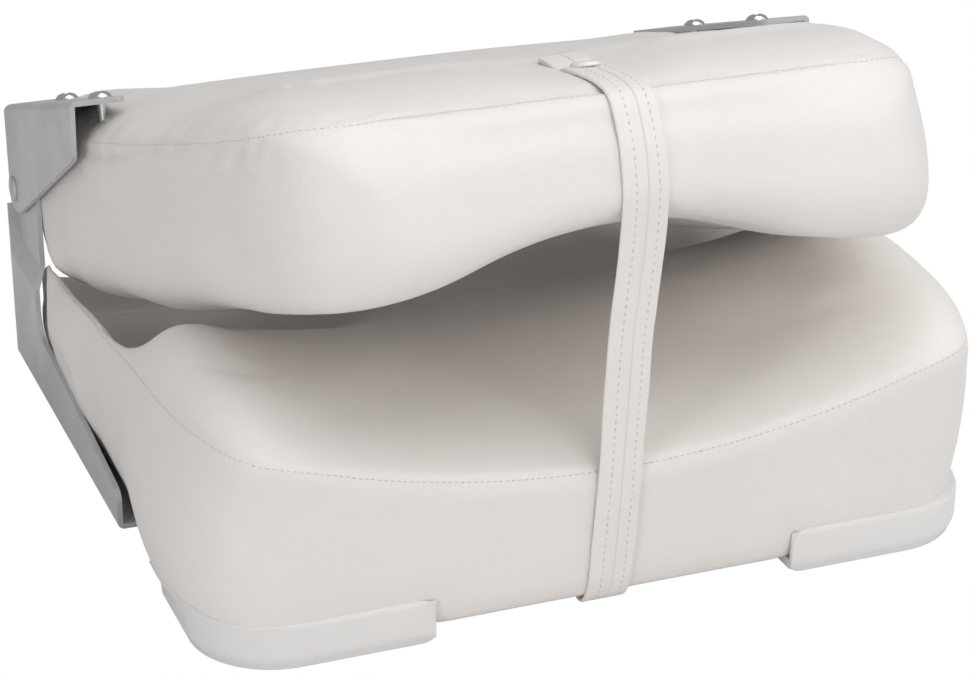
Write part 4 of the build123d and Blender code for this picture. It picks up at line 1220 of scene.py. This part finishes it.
backFacing = (-tilt, 0, 0)
downFacing = (math.pi, 0, 0)
frontFirst = ("_front", "_rear")
setScrews(
    "bracketScrews", "backrest", screwSize(0.0066, 0.0038, 0.0026, 0.025, 0.0018),
    [backOrigin + xAim * x + backAlong * along for x, along in bothSides(0.196, (0.0705, 0.1585))],
    backFacing, 3, screwNames("bracket_screw", ("_rear", "_front")),
)
setScrews(
    "armScrews", "seat", screwSize(0.0052, 0.0021, 0.0025, 0.014, 0.0016),
    [(x, y, 0.0060) for x, y in bothSides(0.1855, (-0.002, 0.128))],
    downFacing, 5, screwNames("arm_screw", frontFirst),
)
setScrews(
    "anchorScrews", "seat", screwSize(0.0034, 0.0012, 0.0017, 0.013, 0.0013),
    [(x, y, 0.0053) for x, y in bothSides(0.008, (-0.179,))],
    downFacing, 7, screwNames("anchor_screw", ("",)),
)
setScrews(
    "swivelScrews", "seat", screwSize(0.0050, 0.0023, 0.0023, 0.007, 0.0014),
    [(x, y, 0.0190) for x, y in bothSides(0.076, (-0.076, 0.076))],
    downFacing, 8, screwNames("swivel_screw", frontFirst),
)
print("stage: screws set")

# Boots: moulded skins that wrap the seat's front corners, flush with the pad
boot = {
    "half": 0.2155, "front": -0.2054, "radius": 0.047, "innerX": 0.099, "sideY": -0.109,
    "bottom": 0.0014, "top": 0.0270, "proud": 0.0009, "lip": 0.0022, "endRadius": 0.0085, "endRise": 0.55,
    "wall": 0.0020, "steps": 84, "rows": 16, "crowding": 0.08, "easing": 4, "lowestProbe": 0.0065,
    "probeStart": 0.1, "probeReach": 0.16, "leastReach": -0.02, "endGap": 0.0003,
    "underTop": 0.0085, "underEase": 0.006, "underDepth": 0.0022,
}
baseSkin = meshSkin(nodes["seat_base"].data)[1]


def bootTrack(share, side):
    # A place and outward direction on the boot's outline, from its front end to its side end
    front = boot["half"] - boot["radius"] - boot["innerX"]
    arc = boot["radius"] * math.pi / 2
    flank = boot["sideY"] - (boot["front"] + boot["radius"])
    reach = share * (front + arc + flank)
    if reach < front:
        place, aim = Vector((boot["innerX"] + reach, boot["front"], 0)), Vector((0, -1, 0))
    elif reach < front + arc:
        turn = (reach - front) / boot["radius"]
        aim = Vector((math.sin(turn), -math.cos(turn), 0))
        middle = Vector((boot["half"] - boot["radius"], boot["front"] + boot["radius"], 0))
        place = middle + aim * boot["radius"]
    else:
        place = Vector((boot["half"], boot["front"] + boot["radius"] + reach - front - arc, 0))
        aim = Vector((1, 0, 0))
    flip = Vector((side, 1, 1))
    return place * flip, aim * flip, min(reach, front + arc + flank - reach)


def crowded(share):
    # Even steps from 0 to 1, made closer at both ends
    return 0.5 - 0.5 * math.cos(math.pi * share)


def bootReach(place, aim, height):
    # How far out the base or the pad stands at this place
    reach = boot["leastReach"]
    probe = place + aim * boot["probeStart"] + Vector((0, 0, max(height, boot["lowestProbe"])))
    for surface in (baseSkin, seatSkin):
        found = surface.ray_cast(probe, -aim, boot["probeReach"])[0]
        if found is not None:
            reach = max(reach, boot["probeStart"] - (found - probe).length)
    return reach


def bootCells(side):
    # Columns of cells: place, direction, height, reach and how far the rim has rounded over
    low, high = crowded(boot["crowding"]), crowded(1 - boot["crowding"])
    grid = []
    for step in range(boot["steps"] + 1):
        share = crowded(boot["crowding"] + (1 - 2 * boot["crowding"]) * step / boot["steps"])
        place, aim, fromEnd = bootTrack((share - low) / (high - low), side)
        near = max(0.0, 1 - fromEnd / boot["endRadius"])
        shortening = boot["endRadius"] * (1 - math.sqrt(max(0.0, 1 - near * near)))
        bottom, top = boot["bottom"] + shortening * boot["endRise"], boot["top"] - shortening
        column = []
        for row in range(boot["rows"] + 1):
            height = bottom + (top - bottom) * crowded(row / boot["rows"])
            edge = min(height - boot["bottom"], boot["top"] - height)
            rim = min(1.0, min(edge, fromEnd + boot["endGap"]) / boot["lip"])
            rounding = math.sqrt(1 - (1 - rim) ** 2)
            column.append([place, aim, height, bootReach(place, aim, height), rounding])
        grid.append(column)
    return grid


def easeReaches(grid):
    # Fills the hollows between neighbouring cells and leaves the high places
    for _ in range(boot["easing"]):
        reaches = [[cell[3] for cell in column] for column in grid]
        for step, column in enumerate(grid):
            for row, cell in enumerate(column):
                around = [reaches[max(0, step - 1)][row], reaches[min(len(grid) - 1, step + 1)][row]]
                around += [reaches[step][max(0, row - 1)], reaches[step][min(len(column) - 1, row + 1)]]
                cell[3] = max(reaches[step][row], (reaches[step][row] * 2 + sum(around)) / 6)


def buildBoot(name, side):
    mesh = bmesh.new()
    grid = bootCells(side)
    easeReaches(grid)
    outer, inner = [], []
    for column in grid:
        outerColumn, innerColumn = [], []
        for place, aim, height, reach, rim in column:
            under = easeStep(boot["underTop"] - height, 0.0, boot["underEase"]) * boot["underDepth"]
            spot = place + aim * (reach + boot["proud"] * rim - under)
            outerColumn.append(mesh.verts.new((spot.x, spot.y, height)))
            spot = place + aim * (reach - boot["wall"] - under)
            innerColumn.append(mesh.verts.new((spot.x, spot.y, height)))
        outer.append(outerColumn)
        inner.append(innerColumn)
    fillBetween(mesh, outer, closed=False)
    fillBetween(mesh, inner, closed=False)
    for end in (0, -1):
        lines = [[column[end] for column in outer], [column[end] for column in inner]]
        fillBetween(mesh, lines, closed=False)
        fillBetween(mesh, [outer[end], inner[end]], closed=False)
    bmesh.ops.recalc_face_normals(mesh, faces=mesh.faces)
    piece = addPiece(name, mesh, [plastic])
    addSmoother(piece)
    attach(piece, "seat")


buildBoot("bootLeft", -1)
buildBoot("bootRight", 1)
print("stage: boots moulded")

# Lamps, floor and background
lamps = [
    {"name": "overhead softbox", "at": (0.4, -0.4, 1.9), "size": 2.0, "power": 23.0},
    {"name": "front softbox", "at": (0.2, -2.2, 1.1), "size": 1.8, "power": 11.0},
    {"name": "right softbox", "at": (2.0, -0.9, 0.8), "size": 1.4, "power": 6.0},
    {"name": "low left softbox", "at": (-2.0, -1.3, 0.30), "size": 0.55, "power": 10.0},
]
lampAim = Vector((0, -0.05, 0.15))
for lamp in lamps:
    light = bpy.data.lights.new(lamp["name"], "AREA")
    light.shape = "SQUARE"
    light.size = lamp["size"]
    light.energy = lamp["power"]
    holder = linkPiece(lamp["name"], light)
    holder.location = lamp["at"]
    holder.rotation_euler = (lampAim - Vector(lamp["at"])).to_track_quat("-Z", "Y").to_euler()


def whiteToCamera(tree, whiteKind, shader, output):
    # The camera sees plain white, and all other light meets the shader
    white = addNode(tree, whiteKind, {"Color": (1, 1, 1, 1), "Strength": 1.0})
    rays = addNode(tree, "ShaderNodeLightPath", {})
    mixed = addNode(tree, "ShaderNodeMixShader", {
        0: rays["Is Camera Ray"], 1: shader.outputs[0], 2: white[0]})
    tree.links.new(mixed[0], tree.nodes[output].inputs["Surface"])


world = bpy.data.worlds.new("studio")
bpy.context.scene.world = world
world.use_nodes = True
backdrop = world.node_tree.nodes["Background"]
backdrop.inputs["Color"].default_value = (1, 1, 1, 1)
backdrop.inputs["Strength"].default_value = 0.38
whiteToCamera(world.node_tree, "ShaderNodeBackground", backdrop, "World Output")

floorStyle = {"half": 6.0, "colour": (0.78, 0.78, 0.78, 1), "roughness": 0.9}
floorMesh = bmesh.new()
bmesh.ops.create_grid(floorMesh, x_segments=4, y_segments=4, size=floorStyle["half"])
floorLook = bpy.data.materials.new("pale floor")
floorLook.use_nodes = True
floorShader = floorLook.node_tree.nodes["Principled BSDF"]
floorShader.inputs["Base Color"].default_value = floorStyle["colour"]
floorShader.inputs["Roughness"].default_value = floorStyle["roughness"]
floorShader.inputs["Specular IOR Level"].default_value = 0.0
whiteToCamera(floorLook.node_tree, "ShaderNodeEmission", floorShader, "Material Output")
floor = addPiece("floor", floorMesh, [floorLook])
bpy.context.scene.view_settings.view_transform = "Standard"
print("stage: lamps and floor set")
